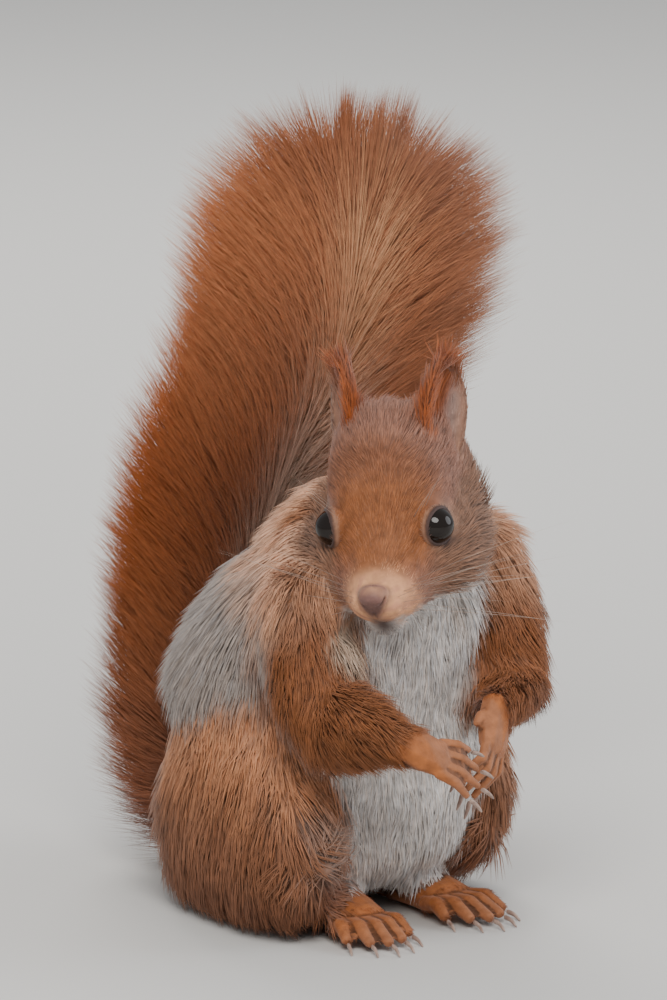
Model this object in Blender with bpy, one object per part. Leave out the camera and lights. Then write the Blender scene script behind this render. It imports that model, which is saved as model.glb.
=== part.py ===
"""A red squirrel sitting up on its hind feet, life size, as a still model.

Frame: metres, +Z up. The hips face -Y and the animal's own right side is -X.
The origin is on the floor, under the middle of the whole animal's box.
Sizes below are in millimetres and reach out to the tips of the coat.
"""

import math

import bmesh
import bpy
from mathutils import Matrix, Vector

MM = 0.001
GAP = 0.3
CUTTER_FLOOR = -1.0
RIGHT = -1
LEFT = 1
SIDE_NAMES = {RIGHT: "right", LEFT: "left"}

# The floor point under the hips, measured from the middle of the whole box.
HIPS_FROM_MIDDLE = Vector((-7.2, -22.8, 0.0))

X_AXIS = Vector((1.0, 0.0, 0.0))
Y_AXIS = Vector((0.0, 1.0, 0.0))
Z_AXIS = Vector((0.0, 0.0, 1.0))

# Head: the point midway between the eyes, and how far the head turns, nods and rolls.
HEAD_PLACE = Vector((-15.1, -21.4, 99.0))
HEAD_TURN = -45.0
HEAD_NOD = 26.0
HEAD_ROLL = -4.6
CROWN_NARROWS = 0.14
EYE_RADIUS = 4.4
EYE_OUT = 11.9
EAR_ROOT = Vector((12.4, 17.5, 7.5))
EAR_HEIGHT = 28.5
EAR_HALF_WIDTH = 7.6
EAR_THICKNESS = 1.4
EAR_CUP = 3.4
EAR_TILT = 5.0

# Feet: each heel on the floor, and how far the toes point outward.
HEEL = {RIGHT: Vector((-11.5, 21.0, 0.0)), LEFT: Vector((9.8, 28.6, 0.0))}
TOE_OUT = {RIGHT: 8.0, LEFT: 5.0}
FOOT_BODY = 34.5
TOE_LENGTHS = (11.0, 15.5, 17.5, 16.0, 12.0)
TOE_SPREAD = (-12.0, -5.0, 0.0, 5.0, 12.0)
TOE_RADIUS = 2.2
FINGER_LENGTHS = (9.0, 11.5, 12.0, 9.5)
FINGER_SPREAD = (-14.0, -4.5, 4.5, 14.0)
FINGER_RADIUS = 1.6
CLAW_RADIUS = 0.8
FOOT_CLAW = 4.4
HAND_CLAW = 4.6

# Where the tail's one long form is parted, as places along its stations.
TAIL_PARTS = {"tail_root": (0.0, 2.0), "tail_lower": (2.0, 4.0),
              "tail_middle": (4.0, 6.0), "tail_plume": (6.0, 8.0)}

TAIL_TOUCHES = {"tail_root": ["torso", "thigh_right", "thigh_left"],
                "tail_lower": ["torso"]}

PALETTE = {
    "fur_red": ((0.34, 0.13, 0.05), 0.85),
    "fur_tail": ((0.38, 0.12, 0.035), 0.85),
    "fur_grey": ((0.30, 0.25, 0.21), 0.85),
    "skin": ((0.42, 0.20, 0.12), 0.6),
    "nose": ((0.25, 0.11, 0.09), 0.45),
    "eye": ((0.008, 0.005, 0.004), 0.05),
    "claw": ((0.30, 0.22, 0.18), 0.4),
}


def spline(stations, place):
    """Values at a place along a smooth line that runs through every station."""
    last = len(stations) - 1
    step = min(int(place), last - 1)
    part = place - step
    before = stations[max(step - 1, 0)]
    start = stations[step]
    end = stations[step + 1]
    after = stations[min(step + 2, last)]
    values = []
    for a, b, c, d in zip(before, start, end, after):
        bend = 2 * a - 5 * b + 4 * c - d
        turn = 3 * (b - c) + d - a
        values.append(b + 0.5 * part * (c - a + part * (bend + part * turn)))
    return values


def oval(centre, side, rise, sizes, count, fullness):
    """Points around an oval whose upper and lower halves may differ in height.

    A fullness of 2 is an ellipse, and more makes the corners squarer.
    """
    width, above, below = sizes
    points = []
    for number in range(count):
        angle = 2 * math.pi * number / count
        out = math.copysign(abs(math.cos(angle)) ** (2 / fullness), math.cos(angle))
        up = math.copysign(abs(math.sin(angle)) ** (2 / fullness), math.sin(angle))
        height = above if up > 0 else below
        points.append(centre + side * width * out + rise * height * up)
    return points


def skin_rings(rings, start_tip, end_tip):
    """A closed mesh through rings of points, ended by tips or by flat faces."""
    mesh = bmesh.new()
    loops = [[mesh.verts.new(point) for point in ring] for ring in rings]
    count = len(loops[0])
    for first, second in zip(loops, loops[1:]):
        for number in range(count):
            after = (number + 1) % count
            mesh.faces.new((first[number], first[after], second[after], second[number]))
    for loop, tip in ((loops[0], start_tip), (loops[-1], end_tip)):
        if tip is None:
            mesh.faces.new(loop)
            continue
        peak = mesh.verts.new(tip)
        for number in range(count):
            mesh.faces.new((loop[number], loop[(number + 1) % count], peak))
    return finished(mesh)


def finished(mesh):
    """Turn faces outward and split them the same way in a form and its cutter."""
    bmesh.ops.recalc_face_normals(mesh, faces=mesh.faces)
    bmesh.ops.triangulate(mesh, faces=mesh.faces, quad_method="FIXED")
    return mesh


def loft(stations, rings, sides, side, domes=(1.0, 1.0), grow=0.0, facing=None,
         span=None, rounds=2, fullness=2.0):
    """A closed form through stations of (x, y, z, half width, above, below).

    domes are the lengths of the two round ends, 0 for a flat one, and rounds the
    rings in each. Rings stand square to the line, or all face one way where
    facing is given. The side axis, turned by the line's way, points above.
    """
    first, last = span or (0.0, len(stations) - 1.0)
    turned = side.normalized()
    outline = []
    frames = []
    for number in range(rings):
        place = first + (last - first) * number / (rings - 1)
        values = spline(stations, place)
        ahead = Vector(spline(stations, min(place + 0.05, len(stations) - 1.0))[:3])
        behind = Vector(spline(stations, max(place - 0.05, 0.0))[:3])
        along = facing or (ahead - behind).normalized()
        across = (turned - along * turned.dot(along)).normalized()
        rise = across.cross(along)
        sizes = [size + grow for size in values[3:6]]
        outline.append(oval(Vector(values[:3]), across, rise, sizes, sides, fullness))
        frames.append((Vector(values[:3]), along, across, rise, sizes))
    tips = []
    for end, way, dome in ((0, -1, domes[0]), (-1, 1, domes[1])):
        centre, along, across, rise, sizes = frames[end]
        if dome <= 0:
            if grow:
                shifted = [point + along * way * grow for point in outline[end]]
                outline[end] = shifted
            tips.append(None)
            continue
        caps = []
        for step in range(1, rounds + 1):
            angle = step * math.pi / 2 / (rounds + 1)
            shrunk = [size * math.cos(angle) for size in sizes]
            moved = centre + along * way * (dome + grow) * math.sin(angle)
            caps.append(oval(moved, across, rise, shrunk, sides, fullness))
        outline = caps[::-1] + outline if way < 0 else outline + caps
        tips.append(centre + along * way * (dome + grow))
    return skin_rings(outline, tips[0], tips[1])


def ball(centre, radius, grow):
    """A round ball, its poles across the animal."""
    mesh = bmesh.new()
    turn = Matrix.Rotation(math.radians(90.0), 4, "Y")
    place = Matrix.Translation(centre) @ turn
    bmesh.ops.create_uvsphere(mesh, u_segments=12, v_segments=8,
                              radius=radius + grow, matrix=place)
    return mesh


def head_frame():
    """Turn from the head's own axes, with its nose toward -Y, to the animal's."""
    turn = Matrix.Rotation(math.radians(HEAD_TURN), 4, "Z")
    nod = Matrix.Rotation(math.radians(HEAD_NOD), 4, "X")
    roll = Matrix.Rotation(math.radians(HEAD_ROLL), 4, "Y")
    return Matrix.Translation(HEAD_PLACE) @ turn @ nod @ roll


def head_form(grow):
    """Skull, cheeks and muzzle with their fur, from the nose back to the nape."""
    stations = (
        (0, -19.8, -7.0, 4.4, 4.2, 4.2),
        (0, -16.5, -8.6, 7.6, 7.4, 6.6),
        (0, -11.5, -10.0, 11.0, 12.0, 8.6),
        (0, -5.5, -10.8, 15.2, 17.9, 10.0),
        (0, 1.0, -10.8, 18.8, 22.8, 11.6),
        (0, 8.0, -10.0, 21.2, 27.1, 13.0),
        (0, 15.0, -7.5, 20.8, 30.0, 13.5),
        (0, 22.5, -3.0, 20.0, 31.4, 13.5),
        (0, 29.5, 2.5, 17.0, 26.0, 12.5),
    )
    mesh = loft(stations, 10, 18, X_AXIS, (1.2, 5.5), grow, fullness=2.2)
    for vertex in mesh.verts:
        share = min(max((vertex.co.z + 9.0) / 12.0, 0.0), 1.0)
        vertex.co.x *= 1.0 - CROWN_NARROWS * share
    mesh.transform(head_frame())
    return mesh


def nose_form(grow):
    """The bare pad over the nostrils."""
    stations = ((0, -18.8, -4.6, 3.5, 2.5, 2.7), (0, -20.9, -5.2, 3.2, 2.3, 2.6))
    mesh = loft(stations, 2, 10, -X_AXIS, (0.0, 1.4), grow)
    mesh.transform(head_frame())
    return mesh


def eye_form(way, grow):
    """One eyeball, set in the side of the head."""
    return ball(head_frame() @ Vector((way * EYE_OUT, 0.0, 0.0)), EYE_RADIUS, grow)


def ear_form(way, grow):
    """A cupped ear that narrows at the top into its tuft of hair."""
    rows = 8
    columns = 5
    mesh = bmesh.new()
    sheets = []
    for face in (0.0, 1.0):
        sheet = []
        for row in range(rows):
            up = row / (rows - 1)
            width = EAR_HALF_WIDTH * (0.72 + 1.5 * up - 2.1 * up ** 2) + grow
            line = []
            for column in range(columns):
                across = -1 + 2 * column / (columns - 1)
                cup = EAR_CUP * (1 - up * 0.6) * (1 - across ** 2)
                depth = cup + face * (EAR_THICKNESS + 2 * grow) - grow
                line.append(mesh.verts.new((across * width, depth,
                                            up * (EAR_HEIGHT + grow) - grow)))
            sheet.append(line)
        sheets.append(sheet)
    front, back = sheets
    for row in range(rows - 1):
        for column in range(columns - 1):
            for sheet in sheets:
                mesh.faces.new((sheet[row][column], sheet[row][column + 1],
                                sheet[row + 1][column + 1], sheet[row + 1][column]))
        for column in (0, columns - 1):
            mesh.faces.new((front[row][column], front[row + 1][column],
                            back[row + 1][column], back[row][column]))
    for row in (0, rows - 1):
        for column in range(columns - 1):
            mesh.faces.new((front[row][column], front[row][column + 1],
                            back[row][column + 1], back[row][column]))
    finished(mesh)
    lean_out = Matrix.Rotation(math.radians(4.0 * way + EAR_TILT), 4, "Y")
    lean_back = Matrix.Rotation(math.radians(-20.0), 4, "X")
    face_out = Matrix.Rotation(math.radians(62.0 * way), 4, "Z")
    root = Vector((way * EAR_ROOT.x, EAR_ROOT.y, EAR_ROOT.z))
    place = Matrix.Translation(root) @ lean_out @ lean_back @ face_out
    mesh.transform(head_frame() @ place)
    return mesh


def neck_form(grow):
    """The short thick neck, from under the skull down between the shoulders."""
    stations = (
        (-8, -8, 103, 14, 12, 13),
        (-5, -4, 97, 19, 17.5, 18),
        (-3, 2, 91, 25.5, 25.5, 24),
        (-2, 5, 85, 28, 29, 26),
    )
    return loft(stations, 5, 14, X_AXIS, (3, 4), grow, rounds=1)


def torso_form(grow):
    """Chest, belly, back and rump in level rings, leaning forward to the chest."""
    stations = (
        (0, 25, 0, 15, 12, 17),
        (0, 24, 6, 29, 27, 28),
        (0, 23, 16, 35, 37, 37),
        (0, 22, 30, 39, 40.5, 41.5),
        (0, 21.5, 44, 41.5, 41.5, 44),
        (-0.5, 20, 57, 43, 42, 45.5),
        (-1, 14, 70, 40.5, 40, 42),
        (-1.5, 7.5, 83, 35, 34, 36),
        (-2, 4, 92, 28, 26, 30),
    )
    return loft(stations, 9, 16, X_AXIS, (0, 5), grow, facing=Z_AXIS)


def tail_stations():
    """The tail's line up behind the back, with the reach of its hair."""
    return (
        (0, 46, 16, 14, 10, 11),
        (-1, 62, 16, 27, 13, 19),
        (1, 76, 30, 28.5, 16, 20),
        (5, 79, 53, 29, 17, 18),
        (8, 74, 77, 33.5, 18, 19),
        (11, 64, 100, 36.5, 19, 20),
        (17, 54, 124, 37, 20, 21),
        (20, 48, 146, 40.5, 19, 20),
        (22, 46, 161, 39.5, 17, 18),
    )


def tail_form(name, grow):
    """One length of the tail; lengths meet at flat faces, half a gap apart each."""
    stations = tail_stations()
    first, last = TAIL_PARTS[name]
    whole = len(stations) - 1.0
    domes = (6.0 if first == 0 else 0.0, 27.0 if last == whole else 0.0)
    inset = 0.007
    start = first if first == 0 else first + inset
    end = last if last == whole else last - inset
    side = (X_AXIS - Y_AXIS * math.tan(math.radians(16.0))).normalized()
    return loft(stations, 5, 18, side, domes, grow, span=(start, end), fullness=2.2)


def upper_arm_form(way, grow):
    """Shoulder to elbow."""
    if way == RIGHT:
        stations = ((-25, -4, 82, 12, 12, 12), (-29, -11, 68, 12.5, 12, 12),
                    (-32, -19, 54, 10, 10, 10))
    else:
        stations = ((20, -1, 88, 13, 13, 13), (23.5, -8, 74.5, 12.5, 12.5, 12.5),
                    (24, -16, 60, 9.5, 10, 10))
    return loft(stations, 4, 12, X_AXIS, (8, 6), grow, rounds=1)


def forearm_form(way, grow):
    """Elbow to wrist."""
    if way == RIGHT:
        stations = ((-31, -19, 54.5, 12, 9.5, 9), (-29.5, -32, 55.5, 10.5, 8.5, 8),
                    (-27, -45, 54.2, 5.6, 5.3, 5.2))
    else:
        stations = ((23.5, -17, 57, 8.8, 8.8, 8.8), (17, -26, 56.5, 7.6, 7.8, 7.8),
                    (9, -33, 56, 5.2, 5.2, 5.2))
    return loft(stations, 4, 10, Z_AXIS, (5, 2), grow, rounds=1)


def hand_frame(way):
    """Turn from a hand's own axes, fingers toward -Y and back of hand up."""
    if way == RIGHT:
        wrist = Vector((-26.0, -46.0, 54.0))
        fingers = Vector((22.0, -3.6, -11.3)).normalized()
        back = Vector((-0.2, -0.7, 0.7))
    else:
        wrist = Vector((8.0, -33.6, 56.4))
        fingers = Vector((-4.0, -4.0, -10.0)).normalized()
        back = Vector((0.55, -0.75, 0.1))
    across = (-fingers).cross(back).normalized()
    upright = across.cross(-fingers).normalized()
    turn = Matrix((across, -fingers, upright)).transposed().to_4x4()
    return Matrix.Translation(wrist) @ turn


def digit_lines(way, lengths, spread, start, gather, curl):
    """Each digit's root, middle and tip, fanned about the hand or foot."""
    lines = []
    middle = (len(lengths) - 1) / 2
    for number, (length, angle) in enumerate(zip(lengths, spread)):
        turn = math.radians(angle) * way
        out = Vector((math.sin(turn), -math.cos(turn), 0.0))
        root = Vector((way * (number - middle) * gather, start, 0.0))
        bend = root + out * length * 0.55 + Z_AXIS * curl[0]
        tip = root + out * length + Z_AXIS * curl[1]
        lines.append((root, bend, tip))
    return lines


def hand_digits(way):
    """Finger lines: nearly straight on the right hand, curled on the left."""
    curl = (0.9, -0.6) if way == RIGHT else (-0.2, -4.4)
    return digit_lines(way, FINGER_LENGTHS, FINGER_SPREAD, -9.5, 2.6, curl)


def foot_digits(way):
    """Toe lines, arched up in the middle, with their tips near the floor."""
    lines = digit_lines(way, TOE_LENGTHS, TOE_SPREAD, 1.5 - FOOT_BODY, 2.9, (4.6, 2.3))
    return [(root + Z_AXIS * 3.4, bend, tip) for root, bend, tip in lines]


def digit_form(line, radius, grow):
    """A finger or toe along its line."""
    root, bend, tip = line
    stations = [(*root, radius * 1.15, radius * 1.15, radius * 1.15),
                (*bend, radius * 1.05, radius * 1.05, radius * 1.05),
                (*tip, radius * 0.8, radius * 0.8, radius * 0.8)]
    return loft(stations, 3, 6, -X_AXIS, (0.0, 1.0), grow, rounds=1)


def claw_form(line, length, drop, grow):
    """A claw that leaves the digit's tip and curves down to a point."""
    root, bend, tip = line
    out = (tip - bend).normalized()
    level = Vector((out.x, out.y, 0.0)).normalized()
    start = tip + out * (1.0 + GAP + 0.02)
    middle = start + (out * 0.3 + level * 0.7) * length * 0.5
    point = start + level * length * 0.9 - Z_AXIS * drop
    thin = CLAW_RADIUS * 0.75
    stations = [(*start, CLAW_RADIUS * 0.8, CLAW_RADIUS, CLAW_RADIUS),
                (*middle, thin * 0.7, thin, thin),
                (*point, 0.3, 0.3, 0.3)]
    return loft(stations, 3, 5, -X_AXIS, (0.0, 0.4), grow, rounds=0)


def hand_form(way, grow):
    """Palm and fingers, one body."""
    wide = 1.0 if way == RIGHT else 1.15
    palm = [(0, 1.3, 0.1, 4.5, 3.6, 4.0), (0, -5.0, 0, 5.4 * wide, 3.6, 4.2),
            (0, -10.5, 0, 5.2 * wide, 2.8, 3.2)]
    solid = as_object("palm", loft(palm, 3, 8, -X_AXIS, (2, 2.2), grow, rounds=1))
    thumb = [(way * -4.2, -3.5, -1.4, 2.2, 2.2, 2.2),
             (way * -6.6, -6.5, -2.0, 1.4, 1.4, 1.4)]
    tools = [as_object("thumb", loft(thumb, 2, 6, -X_AXIS, (0, 1.2), grow, rounds=1))]
    for line in hand_digits(way):
        tools.append(as_object("finger", digit_form(line, FINGER_RADIUS, grow)))
    carve(solid, tools, "UNION")
    return placed(solid, hand_frame(way))


def foot_form(way, grow):
    """Heel, instep and toes, one body, flat where it stands."""
    sole = [(0, 0, 4.0, 4.4, 4.4, 4.9), (0, -12, 4.6, 5.0, 5.2, 5.4),
            (0, -25, 5.0, 6.6, 5.8, 5.8), (0, -FOOT_BODY, 3.8, 7.6, 4.2, 4.5)]
    solid = as_object("sole", loft(sole, 4, 10, -X_AXIS, (3, 2.4), grow, rounds=1))
    tools = [as_object("toe", digit_form(line, TOE_RADIUS, grow))
             for line in foot_digits(way)]
    carve(solid, tools, "UNION")
    return placed(solid, foot_frame(way))


def foot_frame(way):
    """Turn from a foot's own axes, heel at the origin and toes toward -Y."""
    turn = Matrix.Rotation(math.radians(TOE_OUT[way] * way), 4, "Z")
    return Matrix.Translation(HEEL[way]) @ turn


def thigh_form(way, grow):
    """The haunch, from beside the rump forward to the knee."""
    if way == RIGHT:
        stations = ((-23, 42, 16, 15, 22, 17), (-26, 30, 18, 18.5, 35, 21),
                    (-27, 14, 21, 18, 37, 24), (-30, -3, 22, 16, 31, 22),
                    (-32.5, -15, 24, 10.5, 17, 16))
    else:
        stations = ((20, 48, 20, 15, 20, 22), (24, 38, 26, 18, 27, 27),
                    (26, 24, 28, 18, 29, 30), (27, 10, 26, 15.5, 23, 25),
                    (27.5, 0, 24, 10, 15, 16))
    return loft(stations, 6, 14, -X_AXIS, (6, 6), grow, fullness=2.5)


def shank_form(way, grow):
    """Knee back down to the heel."""
    heel = HEEL[way]
    knee = Vector((-31, -16, 21)) if way == RIGHT else Vector((27, 0, 20))
    middle = knee.lerp(heel, 0.4)
    stations = ((*knee, 8, 9, 9), (middle.x, middle.y, 13, 8.5, 9, 9),
                (heel.x + way * 3, heel.y - 2, 8, 6, 6, 6))
    return loft(stations, 4, 10, X_AXIS, (5, 3), grow, rounds=1)


def as_object(name, mesh):
    """Link a mesh to the scene as an object of its own."""
    data = bpy.data.meshes.new(name)
    mesh.to_mesh(data)
    mesh.free()
    thing = bpy.data.objects.new(name, data)
    bpy.context.scene.collection.objects.link(thing)
    return thing


def placed(thing, frame):
    """Take an object's mesh back out of the scene, moved into place."""
    mesh = bmesh.new()
    mesh.from_mesh(thing.data)
    mesh.transform(frame)
    bpy.data.objects.remove(thing)
    return mesh


def carve(solid, tools, operation):
    """Join the tools to a solid, or cut them from it, and drop the tools."""
    for tool in tools:
        cut = solid.modifiers.new("carve", "BOOLEAN")
        cut.operation = operation
        cut.solver = "EXACT"
        cut.object = tool
    bpy.context.view_layer.update()
    seen = solid.evaluated_get(bpy.context.evaluated_depsgraph_get())
    solid.data = bpy.data.meshes.new_from_object(seen)
    solid.modifiers.clear()
    for tool in tools:
        bpy.data.objects.remove(tool)


def set_on_floor(mesh, floor=0.0):
    """Flatten whatever reaches below the floor, which makes its small flats."""
    for vertex in mesh.verts:
        vertex.co.z = max(vertex.co.z, floor)
    return mesh


def paint(thing, colour_name):
    """Give a node a plain finish of its own."""
    colour, roughness = PALETTE[colour_name]
    finish = bpy.data.materials.new(thing.name)
    finish.use_nodes = True
    surface = finish.node_tree.nodes["Principled BSDF"]
    surface.inputs["Base Color"].default_value = (*colour, 1.0)
    surface.inputs["Roughness"].default_value = roughness
    surface.inputs["Metallic"].default_value = 0.0
    thing.data.materials.clear()
    thing.data.materials.append(finish)


def node_forms():
    """Each flesh node: how its form is made, its colour, and what it makes way for."""
    forms = {
        "head": (head_form, "fur_red", ["eye_right", "eye_left", "nose"]),
        "nose": (nose_form, "nose", []),
        "neck": (neck_form, "fur_red", ["head", "torso", "upper_arm_right",
                                        "upper_arm_left"]),
        "torso": (torso_form, "fur_grey", ["head"]),
    }
    for name in TAIL_PARTS:
        def length_form(grow, part=name):
            return tail_form(part, grow)
        touched = TAIL_TOUCHES.get(name, [])
        forms[name] = (length_form, "fur_tail", touched)
    for way, word in SIDE_NAMES.items():
        limbs = {
            "eye": (eye_form, "eye", []),
            "ear": (ear_form, "fur_red", ["head"]),
            "upper_arm": (upper_arm_form, "fur_red", ["head"]),
            "forearm": (forearm_form, "fur_red", ["upper_arm"]),
            "hand": (hand_form, "skin", ["forearm"]),
            "foot": (foot_form, "skin", []),
            "shank": (shank_form, "fur_red", ["foot"]),
            "thigh": (thigh_form, "fur_red", ["foot", "shank", "upper_arm"]),
        }
        for limb, (form, colour, neighbours) in limbs.items():
            def side_form(grow, make=form, hand=way):
                return make(hand, grow)
            names = [other if other == "head" else f"{other}_{word}"
                     for other in neighbours]
            forms[f"{limb}_{word}"] = (side_form, colour, names)
        forms["torso"][2].extend(f"{limb}_{word}" for limb in
                                 ("thigh", "shank", "foot", "upper_arm", "forearm"))
    return forms


def build_flesh():
    """Make every flesh node and cut it clear of its neighbours."""
    forms = node_forms()
    for name, (form, colour, neighbours) in forms.items():
        solid = as_object(name, set_on_floor(form(0.0)))
        cutters = []
        for other in neighbours:
            grown = set_on_floor(forms[other][0](GAP), CUTTER_FLOOR)
            cutters.append(as_object("cutter", grown))
        if cutters:
            carve(solid, cutters, "DIFFERENCE")
        paint(solid, colour)
        yield solid


def build_claws():
    """Four claws on each hand and five on each foot."""
    for way, word in SIDE_NAMES.items():
        limbs = (("hand", hand_digits(way), hand_frame(way), HAND_CLAW, 1.0),
                 ("foot", foot_digits(way), foot_frame(way), FOOT_CLAW, 1.6))
        for limb, lines, frame, length, drop in limbs:
            for number, line in enumerate(lines, 1):
                mesh = claw_form(line, length, drop, 0.0)
                mesh.transform(frame)
                claw = as_object(f"claw_{limb}_{word}_{number}", set_on_floor(mesh))
                paint(claw, "claw")
                yield claw


def main():
    for thing in list(bpy.data.objects):
        bpy.data.objects.remove(thing)
    place = Matrix.Scale(MM, 4) @ Matrix.Translation(HIPS_FROM_MIDDLE)
    for thing in [*build_flesh(), *build_claws()]:
        thing.data.transform(place)
        thing.data.shade_smooth()


main()
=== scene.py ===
"""The red squirrel's looks: one skin, eyes and claws, and a coat of solid tufts.

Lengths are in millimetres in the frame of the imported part, and become metres
only where a mesh is made.
"""

import math

import bmesh
import bpy
import numpy as np
from mathutils import Matrix, Vector
from mathutils.bvhtree import BVHTree
from mathutils.kdtree import KDTree


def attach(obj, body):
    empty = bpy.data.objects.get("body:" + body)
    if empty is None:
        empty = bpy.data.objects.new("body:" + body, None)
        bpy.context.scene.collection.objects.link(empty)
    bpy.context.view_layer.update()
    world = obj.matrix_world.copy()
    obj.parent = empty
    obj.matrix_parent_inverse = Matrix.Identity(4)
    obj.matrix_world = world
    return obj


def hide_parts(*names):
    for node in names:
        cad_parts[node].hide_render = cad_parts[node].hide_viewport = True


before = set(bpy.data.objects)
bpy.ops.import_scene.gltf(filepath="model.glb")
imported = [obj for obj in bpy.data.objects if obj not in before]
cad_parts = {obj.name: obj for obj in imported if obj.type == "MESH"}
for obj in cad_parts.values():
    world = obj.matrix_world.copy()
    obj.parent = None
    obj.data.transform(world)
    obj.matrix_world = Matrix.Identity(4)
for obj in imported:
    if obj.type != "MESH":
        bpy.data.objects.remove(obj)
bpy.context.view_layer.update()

MM = 0.001
HIPS = np.array((-7.2, -22.8, 0.0))
SIDES = (("right", -1.0), ("left", 1.0))

# The head's own axes: its left is +X, its nose points to -Y, its crown to +Z.
HEAD_PLACE = np.array((-15.1, -21.4, 99.0)) + HIPS
HEAD_TURN = math.radians(-45.0)
HEAD_NOD = math.radians(26.0)
HEAD_ROLL = math.radians(-4.6)
EYE_OUT = 11.9
EYE_RADIUS = 4.4
EAR_ROOT = np.array((12.4, 17.5, 7.5))


# ---------------------------------------------------------------- numbers

def unit(vectors):
    """Vectors of length one, along the last axis."""
    size = np.linalg.norm(vectors, axis=-1, keepdims=True)
    return vectors / np.maximum(size, 1e-9)


def smooth(low, high, value):
    """0 below low, 1 above high, and a smooth rise between."""
    part = np.clip((value - low) / (high - low), 0.0, 1.0)
    return part * part * (3.0 - 2.0 * part)


def mix(first, second, share):
    """From first to second; a share for each row also works on rows of colour."""
    first, second, share = (np.asarray(value, float) for value in (first, second, share))
    if share.ndim == 1 and (3,) in (first.shape[-1:], second.shape[-1:]):
        share = share[:, None]
    return first * (1.0 - share) + second * share


def painted(colour, *layers):
    """A colour under layers, each a tone and its share at every point."""
    for tone, share in layers:
        colour = mix(colour, tone, share)
    return colour


def turned(side, front):
    """Degrees away from straight ahead."""
    return np.degrees(np.abs(np.arctan2(side, -front)))


def waves(points, scale, seed):
    """A smooth wandering value from -1 to 1, with bumps about scale across."""
    rng = np.random.default_rng(seed)
    total = np.zeros(len(points))
    for _ in range(7):
        way = unit(rng.normal(size=3)) * rng.uniform(0.7, 1.6) * 2.0 * math.pi / scale
        total += np.sin(points @ way + rng.uniform(0.0, 6.28))
    return np.clip(total / 3.6, -1.0, 1.0)


def catmull(stations, places):
    """Rows along a smooth line that runs through every station."""
    last = len(stations) - 1
    step = np.minimum(places.astype(int), last - 1)
    part = (places - step)[:, None]
    a, b, c, d = (stations[np.clip(step + shift, 0, last)] for shift in (-1, 0, 1, 2))
    bend = 2 * a - 5 * b + 4 * c - d
    return b + 0.5 * part * (c - a + part * (bend + part * (3 * (b - c) + d - a)))


def read_rows(at, places, rows):
    """Rows of a table, read at places along it."""
    return np.stack([np.interp(at, places, column) for column in rows.T], 1)


def turn_matrix():
    """Columns are the head's own axes in the part's frame."""
    turn = Matrix.Rotation(HEAD_TURN, 3, "Z") @ Matrix.Rotation(HEAD_NOD, 3, "X")
    return np.array(turn @ Matrix.Rotation(HEAD_ROLL, 3, "Y"))


HEAD_AXES = turn_matrix()


def from_head(points):
    """Points in the head's own axes, moved to the part's frame."""
    return np.asarray(points, float) @ HEAD_AXES.T + HEAD_PLACE


def to_head(points):
    """Points in the part's frame, seen in the head's own axes."""
    return (points - HEAD_PLACE) @ HEAD_AXES


# ---------------------------------------------------------------- meshes

def added(name, data):
    """A new object in the scene."""
    thing = bpy.data.objects.new(name, data)
    bpy.context.scene.collection.objects.link(thing)
    return thing


def make_mesh(name, points, faces):
    """An object from points in millimetres and an array of faces."""
    data = bpy.data.meshes.new(name)
    count, corners = faces.shape
    data.vertices.add(len(points))
    data.vertices.foreach_set("co", (points * MM).astype(np.float32).ravel())
    data.loops.add(count * corners)
    data.loops.foreach_set("vertex_index", faces.astype(np.int32).ravel())
    data.polygons.add(count)
    data.polygons.foreach_set("loop_start", np.arange(count, dtype=np.int32) * corners)
    data.update(calc_edges=True)
    data.polygons.foreach_set("use_smooth", np.ones(count, bool))
    return added(name, data)


def read(items, key, width, kind=np.float32):
    """One property of many parts of a mesh, as rows."""
    values = np.empty(len(items) * width, kind)
    items.foreach_get(key, values)
    return values.reshape(-1, width)


def points_of(thing):
    """An object's vertices in millimetres."""
    return read(thing.data.vertices, "co", 3).astype(float) / MM


def put_points(thing, points):
    """Write an object's vertices back, from millimetres."""
    thing.data.vertices.foreach_set("co", (points * MM).astype(np.float32).ravel())
    thing.data.update()


def normals_of(thing):
    """An object's vertex normals."""
    return read(thing.data.vertex_normals, "vector", 3).astype(float)


def edges_of(thing):
    """An object's edges as pairs of vertices."""
    return read(thing.data.edges, "vertices", 2, np.int32)


def put_tint(thing, colour):
    """Give every vertex its colour."""
    rows = np.concatenate((colour, np.ones((len(colour), 1))), 1).astype(np.float32)
    layer = thing.data.attributes.new("tint", "FLOAT_COLOR", "POINT")
    layer.data.foreach_set("color", rows.ravel())


def apply_modifiers(thing):
    """Make what an object's modifiers do its own mesh."""
    bpy.context.view_layer.update()
    seen = thing.evaluated_get(bpy.context.evaluated_depsgraph_get())
    thing.data = bpy.data.meshes.new_from_object(seen)
    thing.modifiers.clear()


def relax(values, pairs, rounds, share):
    """Even out rows or single values; share is how far each goes to its neighbours."""
    count = len(values)
    rows = values.reshape(count, -1)
    both = np.concatenate((pairs[:, 0], pairs[:, 1]))
    other = np.concatenate((pairs[:, 1], pairs[:, 0]))
    near = np.maximum(np.bincount(both, minlength=count), 1)[:, None]
    share = np.broadcast_to(np.asarray(share, float), (count,))[:, None]
    for _ in range(rounds):
        sums = [np.bincount(both, column[other], count) for column in rows.T]
        rows = rows + (np.stack(sums, 1) / near - rows) * share
    return rows.reshape(values.shape)


def face_tree(parts):
    """A tree for the nearest face of several (points, faces), and each face's part."""
    points, faces, owner = joined(parts)
    return BVHTree.FromPolygons([Vector(row) for row in points], faces.tolist()), owner


def point_tree(points, numbers):
    """A tree for the nearest of some points."""
    tree = KDTree(len(numbers))
    for number in numbers:
        tree.insert(points[number], int(number))
    tree.balance()
    return tree


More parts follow.
